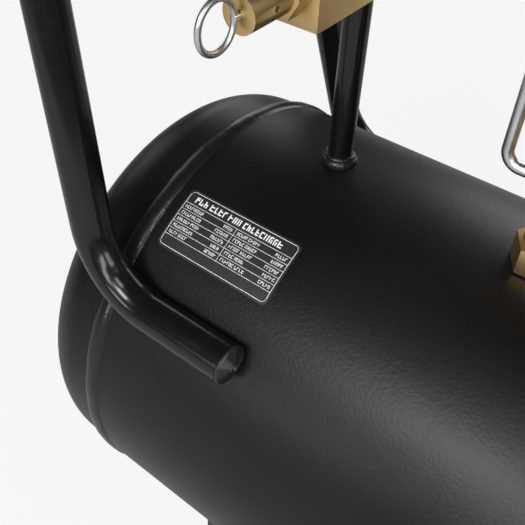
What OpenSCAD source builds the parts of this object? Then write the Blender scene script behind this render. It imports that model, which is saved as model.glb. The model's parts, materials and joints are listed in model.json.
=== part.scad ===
// Wheeled, oil-free, twin-cylinder air compressor on a horizontal tank.
// Millimetres, +X along the tank from the handle end to the pump end, +Y to the back, +Z up.
// The origin is on the floor, under the middle of the whole machine's box.

/* [Tank] */
// Outer radius of the tank's shell
tank_r = 120; // [100:1:150]
// Length of the shell between the two girth welds
tank_l = 455; // [430:1:600]
// Steel thickness of shell and heads
tank_wall = 2.5; // [1.5:0.1:4]
// Height of the tank's axis above the floor
tank_axis_z = 190; // [180:1:240]
// How much smaller the heads' outer radius is than the shell's
head_step = 1.6; // [0.5:0.1:2]
// Straight flange of a head, next to the weld
head_flange = 16.4; // [8:0.1:30]
// Depth of a head's dome beyond its flange
head_dome = 50.7; // [44:0.1:70]
// Knuckle radius of a head
head_knuckle = 32; // [24:1:38]
// Width of the girth weld bead
bead_w = 6; // [3:0.1:8]
// Height of the girth weld bead over the shell
bead_h = 1.2; // [0.4:0.1:2]

/* [Handle] */
// Outer radius of the handle tube
handle_r = 9.3; // [8:0.1:12]
// Wall of the handle tube
handle_wall = 1.5; // [1:0.1:2.5]
// Angle of the front leg's seat on the shell, up from the front horizontal
handle_seat = 39.8; // [30:0.1:55]
// Angle of the rear leg's seat on the shell, up from the rear horizontal
rear_seat = 20; // [10:0.5:55]
// Where the tube ends, measured from the left girth weld
handle_end = 76; // [60:1:110]
// Where the tube's two straight runs would meet, from the left girth weld
handle_corner = 0; // [-10:1:20]
// Centre-line radius of the lower bends
handle_bend = 38.5; // [28:0.5:45]
// Centre-line radius of the bends beside the grip
grip_bend = 30; // [20:1:40]
// Lean of the front upright out past the tank's end
handle_lean = 11.5; // [0:0.5:20]
// Lean of the front upright towards the middle
handle_close = 7; // [0:0.5:9]
// Height of the crossbar over the tank's axis
crossbar_rise = 325; // [280:1:360]
// Outer radius of the foam grip
grip_r = 14; // [12:0.5:18]
// Length of the foam grip
grip_l = 88; // [60:1:90]

/* [Riser and controls] */
// Distance of the riser pipe from the left girth weld
riser_x = 56.3; // [45:0.1:70]
// Offset of the riser pipe behind the tank's centre line
riser_y = 9.4; // [0:0.1:12]
// Outer radius of the riser pipe
riser_r = 6; // [5:0.1:7]
// Bore radius of the riser pipe
riser_bore = 4; // [3:0.1:4.5]
// Height of the manifold's middle over the tank's top
manifold_rise = 100; // [90:1:120]
// Side of the manifold's square section
manifold_s = 26; // [22:1:30]
// Radius of the gauges
gauge_r = 21; // [16:1:24]
// Depth of the gauges
gauge_d = 20; // [16:1:26]
// Radius of the regulator's body
regulator_r = 19; // [16:1:22]
// Bore radius of the quick coupler
coupler_bore = 5.5; // [4.5:0.1:6]
// Travel of the coupler's sleeve
sleeve_travel = 6; // [3:0.5:7]
// Travel of the switch's knob
knob_travel = 6; // [3:0.5:8]
// Travel of the safety valve's ring
ring_travel = 4; // [2:0.5:6]

/* [Pump] */
// Distance of the pump's middle from the left girth weld
pump_x = 321; // [315:1:340]
// Height of the crankshaft over the deck
crank_rise = 73; // [70:1:85]
// Height of the deck's top over the tank's top
deck_rise = 20; // [15:1:30]
// Sheet thickness of deck, lugs and brackets
sheet = 3; // [2:0.5:4]
// Length of the deck
deck_l = 230; // [200:1:240]
// Width of the deck
deck_w = 160; // [150:1:180]
// Radius of the stator
stator_r = 56; // [50:1:58]
// Length of the stator's stack
stator_l = 70; // [50:1:72]
// Bore radius of the cylinders
bore_r = 30; // [28:0.5:31]
// Throw of the eccentrics, half the stroke
throw = 8; // [5:0.5:8]
// Distance of each cylinder from the pump's middle
cylinder_x = 93; // [93:1:96]
// Side of the square cylinder heads
head_s = 76; // [74:1:80]
// Tip radius of the fans
fan_r = 41; // [30:1:42]
// Radius of the motor shaft
shaft_r = 7.5; // [6:0.5:8]

/* [Wheels and feet] */
// Outer radius of the wheels
wheel_r = 60; // [50:1:65]
// Width of the wheels
wheel_w = 30; // [20:1:40]
// Distance of the axle from the left girth weld
axle_x = 395; // [380:1:410]
// Radius of the axle
axle_r = 5; // [4:0.5:6]
// Gap between the tank's side and a wheel's inner face
wheel_gap = 6; // [3:1:12]
// Distance of the feet from the left girth weld
foot_x = 60; // [40:1:80]
// Half the distance between the feet
foot_y = 80; // [60:1:90]
// Height of the rubber feet
foot_h = 24; // [15:1:40]
// Bottom radius of a rubber foot
foot_r = 18; // [14:1:22]

/* [Hidden] */
$fn = 64;
eps = 0.01;
run = 0.05;
gap = 0.3;
sweep_sides = 24;
bend_steps = 9;

// Head profile: crown circle and knuckle circle, tangent to each other
head_r = tank_r - head_step;
knuckle_x = head_r - head_knuckle;
crown_r = (pow(head_dome, 2) + pow(head_r, 2) - 2 * head_r * head_knuckle)
    / (2 * (head_dome - head_knuckle));
crown_lean = atan2(knuckle_x, crown_r - head_dome);
head_depth = head_flange + head_dome;

// Handle directions and corners, before the whole machine is centred
seat_y = -(tank_r + handle_r) * cos(handle_seat);
seat_z = tank_axis_z + (tank_r + handle_r) * sin(handle_seat);
rear_y = (tank_r + handle_r) * cos(rear_seat);
rear_z = tank_axis_z + (tank_r + handle_r) * sin(rear_seat);
crossbar_z = tank_axis_z + crossbar_rise;
upright_h = crossbar_z - seat_z;
crossbar_dx = -upright_h * tan(handle_lean);
crossbar_y = seat_y + upright_h * tan(handle_close);

// The machine's ends, which centre it over the origin
left_end = min(-head_depth, handle_corner + crossbar_dx - grip_r);
right_end = tank_l + head_depth;
weld_x = -(left_end + right_end) / 2;

tank_top = tank_axis_z + tank_r;
deck_z = tank_top + deck_rise;
crank_z = deck_z + crank_rise;
pump_mid = weld_x + pump_x;

// Riser and manifold
pipe_x = weld_x + riser_x;
manifold_z = tank_top + manifold_rise;
manifold_half = manifold_s / 2;
manifold_front = riser_y - 50;
manifold_back = riser_y + 62;
port_r = 4.5;
gauge_y = manifold_front + 24;
gauge_stem = 8;
gauge_face = pipe_x - manifold_half - gauge_stem - gauge_d;
bezel = 2.5;
regulator_y = manifold_back + 5 + regulator_r;
regulator_top = manifold_z + 22;
coupler_start = pipe_x + regulator_r + 4;
coupler_l = 48;
valve_face = manifold_front - 28;

// Pressure switch, on top of the manifold
switch_l = 70;
switch_w = 58;
switch_y = riser_y;
switch_lift = 10;
switch_z = manifold_z + manifold_half + switch_lift;
switch_base_h = 10;
switch_cover_h = 55;
switch_top = switch_z + switch_base_h + switch_cover_h;

// Pump, measured from its middle along X and from the crankshaft along Z
bell_r = stator_r + 2;
bell_wall = 5;
chamber_start = stator_l / 2 + 27;
chamber_end = chamber_start + 52;
chamber_half = bore_r + 10;
deck_floor = -crank_rise + 18;
ecc_r = shaft_r + 10;
sweep_r = ecc_r + throw + 0.5;
yoke_wall = 4;
deck_top_wall = bell_r + 1;
piston_h = 8;
rod_top = max(sweep_r + 2 * throw + yoke_wall + 10, deck_top_wall + 2 * throw + 3);
cylinder_top = rod_top + piston_h + 2;
plate_h = 4;
cyl_head_h = 30;
cyl_head_block = 20;
port_rise = 12;
port_z = cylinder_top + plate_h + port_rise;
bridge_y = 18;
tie_angles = [60, 120, 240, 300];
rotor_r = 37.5;
winding_in = 40;
winding_w = bell_r - bell_wall - 3 - winding_in;
tie_r = stator_r + 6;
bearing_r = 17.5;
bearing_w = 11;
foot_bolt_x = 77;
foot_bolt_y = 62;
fan_start = chamber_end + 2;
fan_w = 12;
guard_r = fan_r + 5;
guard_l = 22;
bolt_r = 4;
head_bolt_pitch = head_s - 14;

// Air pipes
valve_x = weld_x + 162;
valve_port_z = tank_top + 40;
pipe_r = 5;
pipe_bend = 16;

// Wheels: the inner face clears the shell at the height of the tyre's top
tyre_dz = tank_axis_z - 2 * wheel_r;
tank_side = sqrt(max(0, pow(tank_r, 2) - pow(max(0, tyre_dz), 2)));
wheel_in = tank_side + wheel_gap;
wheel_out = wheel_in + wheel_w;
hub_r = wheel_r * 0.68;
cap_h = 7;
axle_abs_x = weld_x + axle_x;
lug_y = tank_side - 26;
lug_w = 56;

// Feet and drain
foot_abs_x = weld_x + foot_x;
bracket_w = 40;
foot_in = 26;
drain_x = weld_x + tank_l / 2;
tank_bottom = tank_axis_z - tank_r;

// ---- Helpers -------------------------------------------------------------

function unit(v) = v / norm(v);
function turn_axis(a, b) = unit(b - (a * b) * a);
// Columns x, y, z and the origin p of a turned frame
function frame_of(x, y, z, p) = [
    [x[0], y[0], z[0], p[0]], [x[1], y[1], z[1], p[1]], [x[2], y[2], z[2], p[2]], [0, 0, 0, 1]];
function any_side(d) = abs(d[2]) < 0.9 ? unit(cross(d, [0, 0, 1])) : unit(cross(d, [1, 0, 0]));
function trim(pts, i, bend) = (i <= 0 || i >= len(pts) - 1) ? 0 :
    bend * tan(acos(unit(pts[i] - pts[i - 1]) * unit(pts[i + 1] - pts[i])) / 2);

// Children's +Z points along the named direction from point p
module along_x(p) { translate(p) rotate([0, 90, 0]) children(); }
module along_minus_x(p) { translate(p) rotate([0, -90, 0]) children(); }
module along_y(p) { translate(p) rotate([-90, 0, 0]) children(); }
module along_minus_y(p) { translate(p) rotate([90, 0, 0]) children(); }

// Round section, hollow when r_in is over 0
module section(r, r_in) {
    difference() {
        circle(r = r);
        if (r_in > 0) circle(r = r_in);
    }
}

// Bent pipe through the corners pts, with one bend radius
module bent_pipe(pts, r, r_in, bend) {
    for (i = [0 : len(pts) - 2]) {
        d = unit(pts[i + 1] - pts[i]);
        start = pts[i] + d * trim(pts, i, bend);
        run_l = norm(pts[i + 1] - pts[i]) - trim(pts, i, bend) - trim(pts, i + 1, bend);
        side = any_side(d);
        multmatrix(frame_of(side, cross(d, side), d, start))
            linear_extrude(height = run_l) section(r, r_in);
    }
    for (i = [1 : 1 : len(pts) - 2]) {
        d = unit(pts[i] - pts[i - 1]);
        e = unit(pts[i + 1] - pts[i]);
        inner = turn_axis(d, e);
        centre = pts[i] - d * trim(pts, i, bend) + inner * bend;
        multmatrix(frame_of(-inner, d, cross(d, inner), centre))
            rotate_extrude(angle = acos(d * e)) translate([bend, 0]) section(r, r_in);
    }
}

// Points of the arc that rounds the corner b between a and c
function bend_points(a, b, c, bend) =
    let (d = unit(b - a), e = unit(c - b), turn = acos(d * e), inner = turn_axis(d, e),
        centre = b - d * bend * tan(turn / 2) + inner * bend)
    [for (k = [0 : bend_steps])
        centre + bend * (sin(turn * k / bend_steps) * d - cos(turn * k / bend_steps) * inner)];

function heading(pts, i) = unit(pts[min(i + 1, len(pts) - 1)] - pts[max(i - 1, 0)]);
// Side direction at point i, carried along the route without twist
function carried(pts, i) = i == 0 ? any_side(heading(pts, 0)) :
    let (t = heading(pts, i), n = carried(pts, i - 1)) unit(n - (n * t) * t);

// Hollow tube swept along the points of a route
module swept_tube(pts, r, r_in) {
    n = len(pts);
    s = sweep_sides;
    points = [for (i = [0 : n - 1]) let (t = heading(pts, i), u = carried(pts, i), v = cross(t, u))
        for (w = [r, r_in], k = [0 : s - 1])
            pts[i] + w * (cos(360 * k / s) * u + sin(360 * k / s) * v)];
    function at(i, w, k) = (2 * i + w) * s + k % s;
    walls = [for (i = [0 : n - 2], k = [0 : s - 1], w = [0, 1])
        w == 0 ? [at(i, 0, k), at(i + 1, 0, k), at(i + 1, 0, k + 1), at(i, 0, k + 1)]
            : [at(i, 1, k), at(i, 1, k + 1), at(i + 1, 1, k + 1), at(i + 1, 1, k)]];
    ends = [for (k = [0 : s - 1], i = [0, n - 1])
        i == 0 ? [at(i, 0, k), at(i, 0, k + 1), at(i, 1, k + 1), at(i, 1, k)]
            : [at(i, 0, k), at(i, 1, k), at(i, 1, k + 1), at(i, 0, k + 1)]];
    polyhedron(points, concat(walls, ends));
}

module tube(r, r_in, h) {
    difference() {
        cylinder(r = r, h = h);
        translate([0, 0, -1]) cylinder(r = r_in, h = h + 2);
    }
}

// Box with upright edges rounded to r
module rounded_box(p, size, r) {
    translate(p) linear_extrude(height = size[2]) union() {
        square([size[0] - 2 * r, size[1]], center = true);
        square([size[0], size[1] - 2 * r], center = true);
        for (x = [-1, 1], y = [-1, 1])
            translate([x * (size[0] / 2 - r), y * (size[1] / 2 - r)]) circle(r = r);
    }
}

module tank_body(r) { along_x([weld_x, 0, tank_axis_z]) cylinder(r = r, h = tank_l); }
module both_sides() { children(); mirror([0, 1, 0]) children(); }

// ---- Tank ----------------------------------------------------------------

module tank_shell() {
    color("#1c1c1e") difference() {
        tank_body(tank_r);
        along_x([weld_x - 1, 0, tank_axis_z]) cylinder(r = tank_r - tank_wall, h = tank_l + 2);
        translate([pipe_x, riser_y, tank_axis_z]) cylinder(r = riser_r, h = tank_r + 1);
        translate([valve_x, 0, tank_axis_z]) cylinder(r = 8, h = tank_r + 1);
        translate([drain_x, 0, 0]) cylinder(r = 6, h = tank_axis_z);
    }
}

// Half section of a domed head, drawn with the axis upright; inset shrinks it by a wall
module dome_section(inset) {
    crown_c = head_depth - crown_r;
    reach = crown_r + 60;
    translate([0, -eps * sign(inset)]) square([head_r - inset, head_flange + eps * sign(inset)]);
    intersection() {
        translate([knuckle_x, head_flange]) circle(r = head_knuckle - inset);
        translate([knuckle_x, head_flange]) square(head_knuckle);
    }
    intersection() {
        translate([0, crown_c]) circle(r = crown_r - inset);
        polygon([[0, head_flange], [knuckle_x, head_flange],
            [reach * sin(crown_lean), crown_c + reach * cos(crown_lean)], [0, crown_c + reach]]);
    }
}

module domed_head() {
    rotate_extrude() difference() {
        dome_section(0);
        dome_section(tank_wall);
    }
}

module left_tank_head() {
    color("#1c1c1e") along_minus_x([weld_x, 0, tank_axis_z]) domed_head();
}

module right_tank_head() {
    color("#1c1c1e") along_x([weld_x + tank_l, 0, tank_axis_z]) domed_head();
}

// Ring of weld over the joint at z = 0, with the shell on the +Z side
module girth_bead() {
    bead_r = (pow(bead_w / 2, 2) + pow(bead_h, 2)) / (2 * bead_h);
    rotate_extrude() difference() {
        translate([tank_r + bead_h - bead_r, 0]) circle(r = bead_r);
        square([tank_r, 2 * bead_r]);
        translate([0, -2 * bead_r]) square([head_r, 2 * bead_r]);
    }
}

// Two-tier weld round the foot of the riser pipe
module riser_bead() {
    difference() {
        translate([pipe_x, riser_y, tank_top - 4]) rotate_extrude() difference() {
            union() {
                translate([riser_r, 3]) circle(r = 3.6);
                translate([riser_r, 6.2]) circle(r = 2.1);
            }
            translate([-20, -20]) square([20 + riser_r, 60]);
        }
        tank_body(tank_r);
    }
}

// Fillets of weld under one leg of the handle, on its lower side; drawn for a leg in front
module leg_fillets(seat) {
    leg = tank_r + handle_r;
    for (x = [32, handle_end - 20]) difference() {
        translate([weld_x + x, 0, tank_axis_z]) rotate([-seat, 0, 0])
            translate([0, -tank_r - 3, -8]) cube([16, 5, 8]);
        tank_body(tank_r);
        along_x([weld_x - 60, -leg * cos(seat), tank_axis_z + leg * sin(seat)])
            cylinder(r = handle_r, h = 200);
    }
}

module weld_beads() {
    color("#202022") {
        along_x([weld_x, 0, tank_axis_z]) girth_bead();
        along_minus_x([weld_x + tank_l, 0, tank_axis_z]) girth_bead();
        riser_bead();
        leg_fillets(handle_seat);
        mirror([0, 1, 0]) leg_fillets(rear_seat);
    }
}

module rating_label() {
    label_x = 10;
    label_l = 65;
    label_low = 52.6;
    label_high = 67.8;
    label_t = 0.4;
    color("#2a2a2c") along_x([weld_x + label_x, 0, tank_axis_z])
        rotate([0, 0, 270 - label_high])
        rotate_extrude(angle = label_high - label_low)
        translate([tank_r, 0]) square([label_t, label_l]);
}

// ---- Handle --------------------------------------------------------------

// Half of the handle, from the end of a leg seated at (y, z) to the crossbar
function leg_points(y, z) =
    let (low = [weld_x + handle_corner, y, z],
        high = [low[0] + crossbar_dx, -sign(y) * crossbar_y, crossbar_z],
        middle = [high[0], 0, high[2]])
    concat([[weld_x + handle_end, y, z]],
        bend_points(low + [1, 0, 0], low, high, handle_bend),
        bend_points(low, high, middle, grip_bend));

// One bent tube: two seats on the tank, two uprights and the crossbar
module handle_tube() {
    front = leg_points(seat_y, seat_z);
    rear = leg_points(rear_y, rear_z);
    rear_back = [for (i = [len(rear) - 1 : -1 : 0]) rear[i]];
    color("#161618") swept_tube(concat(front, rear_back), handle_r, handle_r - handle_wall);
}

// Ribbed end plug: a thin flange with stepped rings, and a stem inside the tube
module tube_plug() {
    rotate_extrude() difference() {
        union() {
            translate([0, -12]) square([handle_r - handle_wall - 0.1, 12]);
            square([handle_r, 1.6]);
            for (k = [1 : 6]) square([handle_r - 0.2 - k * 1.15, 1.6 + k * 0.35]);
        }
        translate([0, 2.4]) square([1.2, 10]);
        translate([0, -13]) square([5, 11]);
    }
}

module handle_plugs() {
    color("#111112") {
        along_x([weld_x + handle_end, seat_y, seat_z]) tube_plug();
        along_x([weld_x + handle_end, rear_y, rear_z]) tube_plug();
    }
}

module handle_grip() {
    color("#18181a") difference() {
        along_y([weld_x + handle_corner + crossbar_dx, -grip_l / 2, crossbar_z])
            cylinder(r = grip_r, h = grip_l);
        along_y([weld_x + handle_corner + crossbar_dx, -grip_l, crossbar_z])
            cylinder(r = handle_r, h = 2 * grip_l);
    }
}

// ---- Riser, manifold and pressure switch ---------------------------------

module riser_pipe() {
    foot = tank_axis_z + tank_r - 8;
    color("#161618") translate([pipe_x, riser_y, foot])
        tube(riser_r, riser_bore, manifold_z - manifold_half + 10 - foot);
}

module manifold() {
    bar_l = manifold_back - manifold_front;
    color("#b08d4a") difference() {
        translate([pipe_x - manifold_half, manifold_front, manifold_z - manifold_half])
            cube([manifold_s, bar_l, manifold_s]);
        translate([pipe_x, riser_y, manifold_z - manifold_half - 1]) cylinder(r = riser_r, h = 11);
        translate([pipe_x, riser_y, manifold_z - manifold_half + 5]) cylinder(r = port_r, h = 9);
        translate([pipe_x, riser_y, manifold_z]) cylinder(r = port_r, h = manifold_s);
        along_y([pipe_x, manifold_front - 1, manifold_z]) cylinder(r = port_r, h = bar_l + 2);
        along_minus_x([pipe_x, gauge_y, manifold_z]) cylinder(r = port_r, h = manifold_s);
    }
}

module switch_base() {
    color("#3a3a3c") difference() {
        union() {
            rounded_box([pipe_x, switch_y, switch_z], [switch_l, switch_w, switch_base_h], 6);
            translate([pipe_x, riser_y, switch_z - switch_lift])
                cylinder(r = 10, h = switch_lift + 1, $fn = 6);
        }
        translate([pipe_x, riser_y, switch_z - switch_lift - 1])
            cylinder(r = port_r, h = switch_lift + 6);
    }
}

module switch_cover() {
    floor_z = switch_z + switch_base_h;
    color("#141416") difference() {
        rounded_box([pipe_x, switch_y, floor_z], [switch_l - 2, switch_w - 2, switch_cover_h], 8);
        rounded_box([pipe_x, switch_y, floor_z - 1],
            [switch_l - 7, switch_w - 7, switch_cover_h - 1.5], 6);
        translate([pipe_x, switch_y, floor_z]) cylinder(r = 4 + gap, h = switch_cover_h + 1);
        for (y = [-12, 12])
            along_x([pipe_x, switch_y + y, floor_z + 16]) cylinder(r = 6, h = switch_l);
    }
}

module switch_knob() {
    color("#c0281e") {
        translate([pipe_x, switch_y, switch_top - knob_travel - 6])
            cylinder(r = 4, h = knob_travel + 7 + gap);
        translate([pipe_x, switch_y, switch_top + gap]) difference() {
            cylinder(r = 11, h = 16);
            for (a = [0 : 30 : 330])
                rotate([0, 0, a]) translate([12, 0, 4]) cylinder(r = 2, h = 20);
        }
    }
}

module cable_glands() {
    floor_z = switch_z + switch_base_h;
    wall_x = pipe_x + switch_l / 2 - 1;
    color("#101012") for (y = [-12, 12])
        translate([0, switch_y + y, floor_z + 16]) difference() {
            union() {
                along_x([wall_x - 3, 0, 0]) cylinder(r = 6, h = 4);
                along_x([wall_x, 0, 0]) cylinder(r = 9, h = 6, $fn = 6);
                along_x([wall_x + 6, 0, 0]) cylinder(r1 = 8, r2 = 6.5, h = 10);
            }
            along_x([wall_x + 13, 0, 0]) cylinder(r = 4, h = 10);
        }
}

module safety_valve() {
    color("#c9a254") difference() {
        union() {
            along_y([pipe_x, manifold_front - 1, manifold_z]) cylinder(r = port_r, h = 9);
            along_minus_y([pipe_x, manifold_front, manifold_z]) cylinder(r = 9.5, h = 7, $fn = 6);
            along_minus_y([pipe_x, manifold_front, manifold_z]) cylinder(r = 7, h = 28);
        }
        along_minus_y([pipe_x, manifold_front - 12, manifold_z]) cylinder(r = 1.5 + run, h = 20);
        for (a = [0, 90]) translate([pipe_x, manifold_front - 16, manifold_z]) rotate([0, a, 0])
            translate([0, 0, -10]) cylinder(r = 1.3, h = 20);
    }
}

module safety_ring() {
    color("#c8c8cc") {
        along_minus_y([pipe_x, valve_face + ring_travel + 4, manifold_z])
            cylinder(r = 1.5, h = ring_travel + 7);
        translate([pipe_x, valve_face - 11.2, manifold_z]) rotate([0, 90, 0])
            rotate_extrude() translate([9, 0]) circle(r = 1.2);
    }
}

// ---- Gauges --------------------------------------------------------------

// Gauge facing -X, on a stem that starts at x = stem_from
module gauge_case(stem_from) {
    along_minus_x([stem_from, 0, 0]) cylinder(r = port_r, h = stem_from - gauge_face - gauge_d + 1);
    along_x([gauge_face, 0, 0]) difference() {
        cylinder(r = gauge_r, h = gauge_d);
        translate([0, 0, -1]) cylinder(r = gauge_r - bezel, h = 7);
    }
}

module gauge_cases() {
    color("#1a1a1c") {
        translate([0, gauge_y, manifold_z]) gauge_case(pipe_x - manifold_half + 8);
        translate([0, regulator_y, manifold_z]) gauge_case(pipe_x - regulator_r + 1);
    }
}

module gauge_dials() {
    color("#f2f2ee") for (y = [gauge_y, regulator_y])
        along_x([gauge_face + 5, y, manifold_z]) difference() {
            cylinder(r = gauge_r - bezel, h = 1);
            translate([0, 0, -1]) cylinder(r = 1 + run, h = 3);
        }
}

module gauge_glasses() {
    color("#dfe8ee", 0.35) for (y = [gauge_y, regulator_y])
        along_x([gauge_face + 0.6, y, manifold_z]) cylinder(r = gauge_r - bezel, h = 1.4);
}

module needle(y) {
    color("#c0281e") translate([gauge_face + 3, y, manifold_z]) {
        along_x([0, 0, 0]) cylinder(r = 2.2, h = 0.8);
        along_x([0, 0, 0]) cylinder(r = 1, h = 2.9);
        rotate([-135, 0, 0]) translate([0, -0.6, -5]) cube([0.8, 1.2, gauge_r - bezel + 1]);
    }
}

module tank_needle() { needle(gauge_y); }
module outlet_needle() { needle(regulator_y); }

// ---- Regulator and coupler -----------------------------------------------

module regulator() {
    boss_y = manifold_back - 8;
    color("#9a9ca0") difference() {
        union() {
            translate([pipe_x, regulator_y, manifold_z - 24])
                cylinder(r = regulator_r, h = regulator_top - manifold_z + 24);
            translate([pipe_x, regulator_y, manifold_z - 30]) cylinder(r = 11, h = 7, $fn = 6);
            along_y([pipe_x, manifold_back, manifold_z]) cylinder(r = 9, h = 12);
            along_y([pipe_x, boss_y, manifold_z]) cylinder(r = port_r, h = 12);
            along_x([pipe_x, regulator_y, manifold_z]) cylinder(r = 10, h = regulator_r + 4, $fn = 6);
            translate([pipe_x, regulator_y, regulator_top - 1]) cylinder(r = 12, h = 9);
        }
        along_minus_x([pipe_x - regulator_r + 1, regulator_y, manifold_z])
            cylinder(r = port_r + 0.5, h = 5);
        along_x([coupler_start - 8, regulator_y, manifold_z]) cylinder(r = port_r, h = 20);
    }
}

module regulator_knob() {
    knob_z = regulator_top + gap;
    color("#101012") difference() {
        translate([pipe_x, regulator_y, knob_z]) cylinder(r = 17.5, h = 26);
        translate([pipe_x, regulator_y, knob_z - 1]) cylinder(r = 12 + gap, h = 10);
        for (a = [0 : 20 : 340]) translate([pipe_x, regulator_y, knob_z + 5]) rotate([0, 0, a])
            translate([18.6, 0, 0]) cylinder(r = 1.9, h = 30);
    }
}

module coupler() {
    body_l = coupler_l - 2;
    color("#b9bbc0") along_x([coupler_start, regulator_y, manifold_z]) difference() {
        union() {
            translate([0, 0, -8]) cylinder(r = port_r, h = 9);
            cylinder(r = 10.5, h = 12, $fn = 6);
            cylinder(r = 8, h = body_l);
            translate([0, 0, body_l - 3]) cylinder(r = 9, h = 3);
        }
        translate([0, 0, body_l - 24]) cylinder(r = coupler_bore, h = 30);
        translate([0, 0, -10]) cylinder(r = 2.5, h = 60);
    }
}

module coupler_sleeve() {
    sleeve_start = 12 + sleeve_travel + gap;
    sleeve_l = coupler_l - 5 - gap - sleeve_start;
    color("#d0d2d6") along_x([coupler_start + sleeve_start, regulator_y, manifold_z])
        difference() {
            cylinder(r = 12, h = sleeve_l);
            translate([0, 0, -1]) cylinder(r = 8 + run, h = sleeve_l + 2);
            for (z = [4 : 3 : sleeve_l - 4]) translate([0, 0, z]) rotate_extrude()
                translate([12.3, 0]) circle(r = 0.9);
        }
}

// ---- Air pipes -----------------------------------------------------------

module check_valve() {
    color("#b08d4a") difference() {
        union() {
            translate([valve_x, 0, tank_top - 6]) cylinder(r = 8, h = 8);
            translate([valve_x, 0, tank_top + 0.5]) cylinder(r = 13, h = 12, $fn = 6);
            translate([valve_x, 0, tank_top]) cylinder(r = 10, h = 52);
            translate([valve_x, 0, tank_top + 50]) cylinder(r = 11, h = 7, $fn = 6);
            along_y([valve_x, 0, valve_port_z]) cylinder(r = 8, h = 16, $fn = 6);
            along_minus_x([valve_x, 0, valve_port_z]) cylinder(r = 5, h = 15);
        }
        along_y([valve_x, 8, valve_port_z]) cylinder(r = pipe_r, h = 10);
        along_minus_x([valve_x - 8, 0, valve_port_z]) cylinder(r = 2.5, h = 10);
        translate([valve_x, 0, tank_top - 8]) cylinder(r = 5, h = 50);
    }
}

module unloader_tube() {
    tube_y = switch_y - 24;
    tube_z = switch_z + 5;
    start_x = pipe_x + switch_l / 2;
    color("#c8c8cc") {
        bent_pipe([[start_x, tube_y, tube_z], [start_x + 20, tube_y, tube_z],
            [start_x + 20, 0, tube_z], [start_x + 44, 0, tube_z],
            [start_x + 44, 0, valve_port_z], [valve_x - 8, 0, valve_port_z]], 2.5, 1.5, 7);
        along_x([start_x, tube_y, tube_z]) tube(4.5, 2.5, 8);
    }
}

module discharge_pipe() {
    head_z = crank_z + port_z;
    left_x = pump_mid - cylinder_x;
    back_y = head_s / 2;
    color("#b87a4b") {
        bent_pipe([[left_x, back_y - 6, head_z], [left_x, back_y + 30, head_z],
            [valve_x, back_y + 30, head_z], [valve_x, back_y + 30, valve_port_z],
            [valve_x, 8, valve_port_z]], pipe_r, pipe_r - 1, pipe_bend);
        along_x([pump_mid - cylinder_x + head_s / 2 - 6, bridge_y, head_z])
            tube(pipe_r, pipe_r - 1, 2 * cylinder_x - head_s + 12);
    }
}

// ---- Deck and mountings --------------------------------------------------

module at_pump_bolts() {
    for (sx = [-1, 1], sy = [-1, 1])
        translate([pump_mid + sx * foot_bolt_x, sy * foot_bolt_y, 0]) children();
}

module pump_deck() {
    start = pump_mid - deck_l / 2;
    color("#161618") difference() {
        translate([start, -deck_w / 2, tank_axis_z + 40])
            cube([deck_l, deck_w, deck_z - tank_axis_z - 40]);
        translate([start - 1, -deck_w / 2 + sheet, tank_axis_z])
            cube([deck_l + 2, deck_w - 2 * sheet, deck_z - sheet - tank_axis_z]);
        tank_body(tank_r);
        at_pump_bolts() translate([0, 0, deck_z - 10]) cylinder(r = bolt_r + 0.2, h = 20);
    }
}

module isolators() {
    h = 18;
    color("#101010") at_pump_bolts() translate([0, 0, deck_z]) rotate_extrude() difference() {
        square([15, h]);
        translate([17, h / 2]) circle(r = 5);
        square([bolt_r, h]);
    }
}

// Hexagon bolt up to z = 0, with its head on top, a shank of length l and a nut at z = -clamp
module hex_bolt(l, clamp) {
    cylinder(r = 7.5, h = 5.5, $fn = 6);
    translate([0, 0, -l]) cylinder(r = bolt_r, h = l + 1);
    translate([0, 0, -clamp - 6.5]) difference() {
        cylinder(r = 7.5, h = 6.5, $fn = 6);
        translate([0, 0, -1]) cylinder(r = bolt_r - eps, h = 9);
    }
}

module mount_bolts() {
    foot_top = crank_z + deck_floor + 8;
    color("#b9bbc0") {
        at_pump_bolts() translate([0, 0, foot_top]) hex_bolt(38, 8 + 18 + sheet);
        both_sides() translate([foot_abs_x, foot_y - foot_in, foot_h + sheet]) {
            cylinder(r = 7.5, h = 5.5, $fn = 6);
            translate([0, 0, -sheet - 12]) cylinder(r = bolt_r, h = sheet + 13);
        }
    }
}

// ---- Pump ----------------------------------------------------------------

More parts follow.
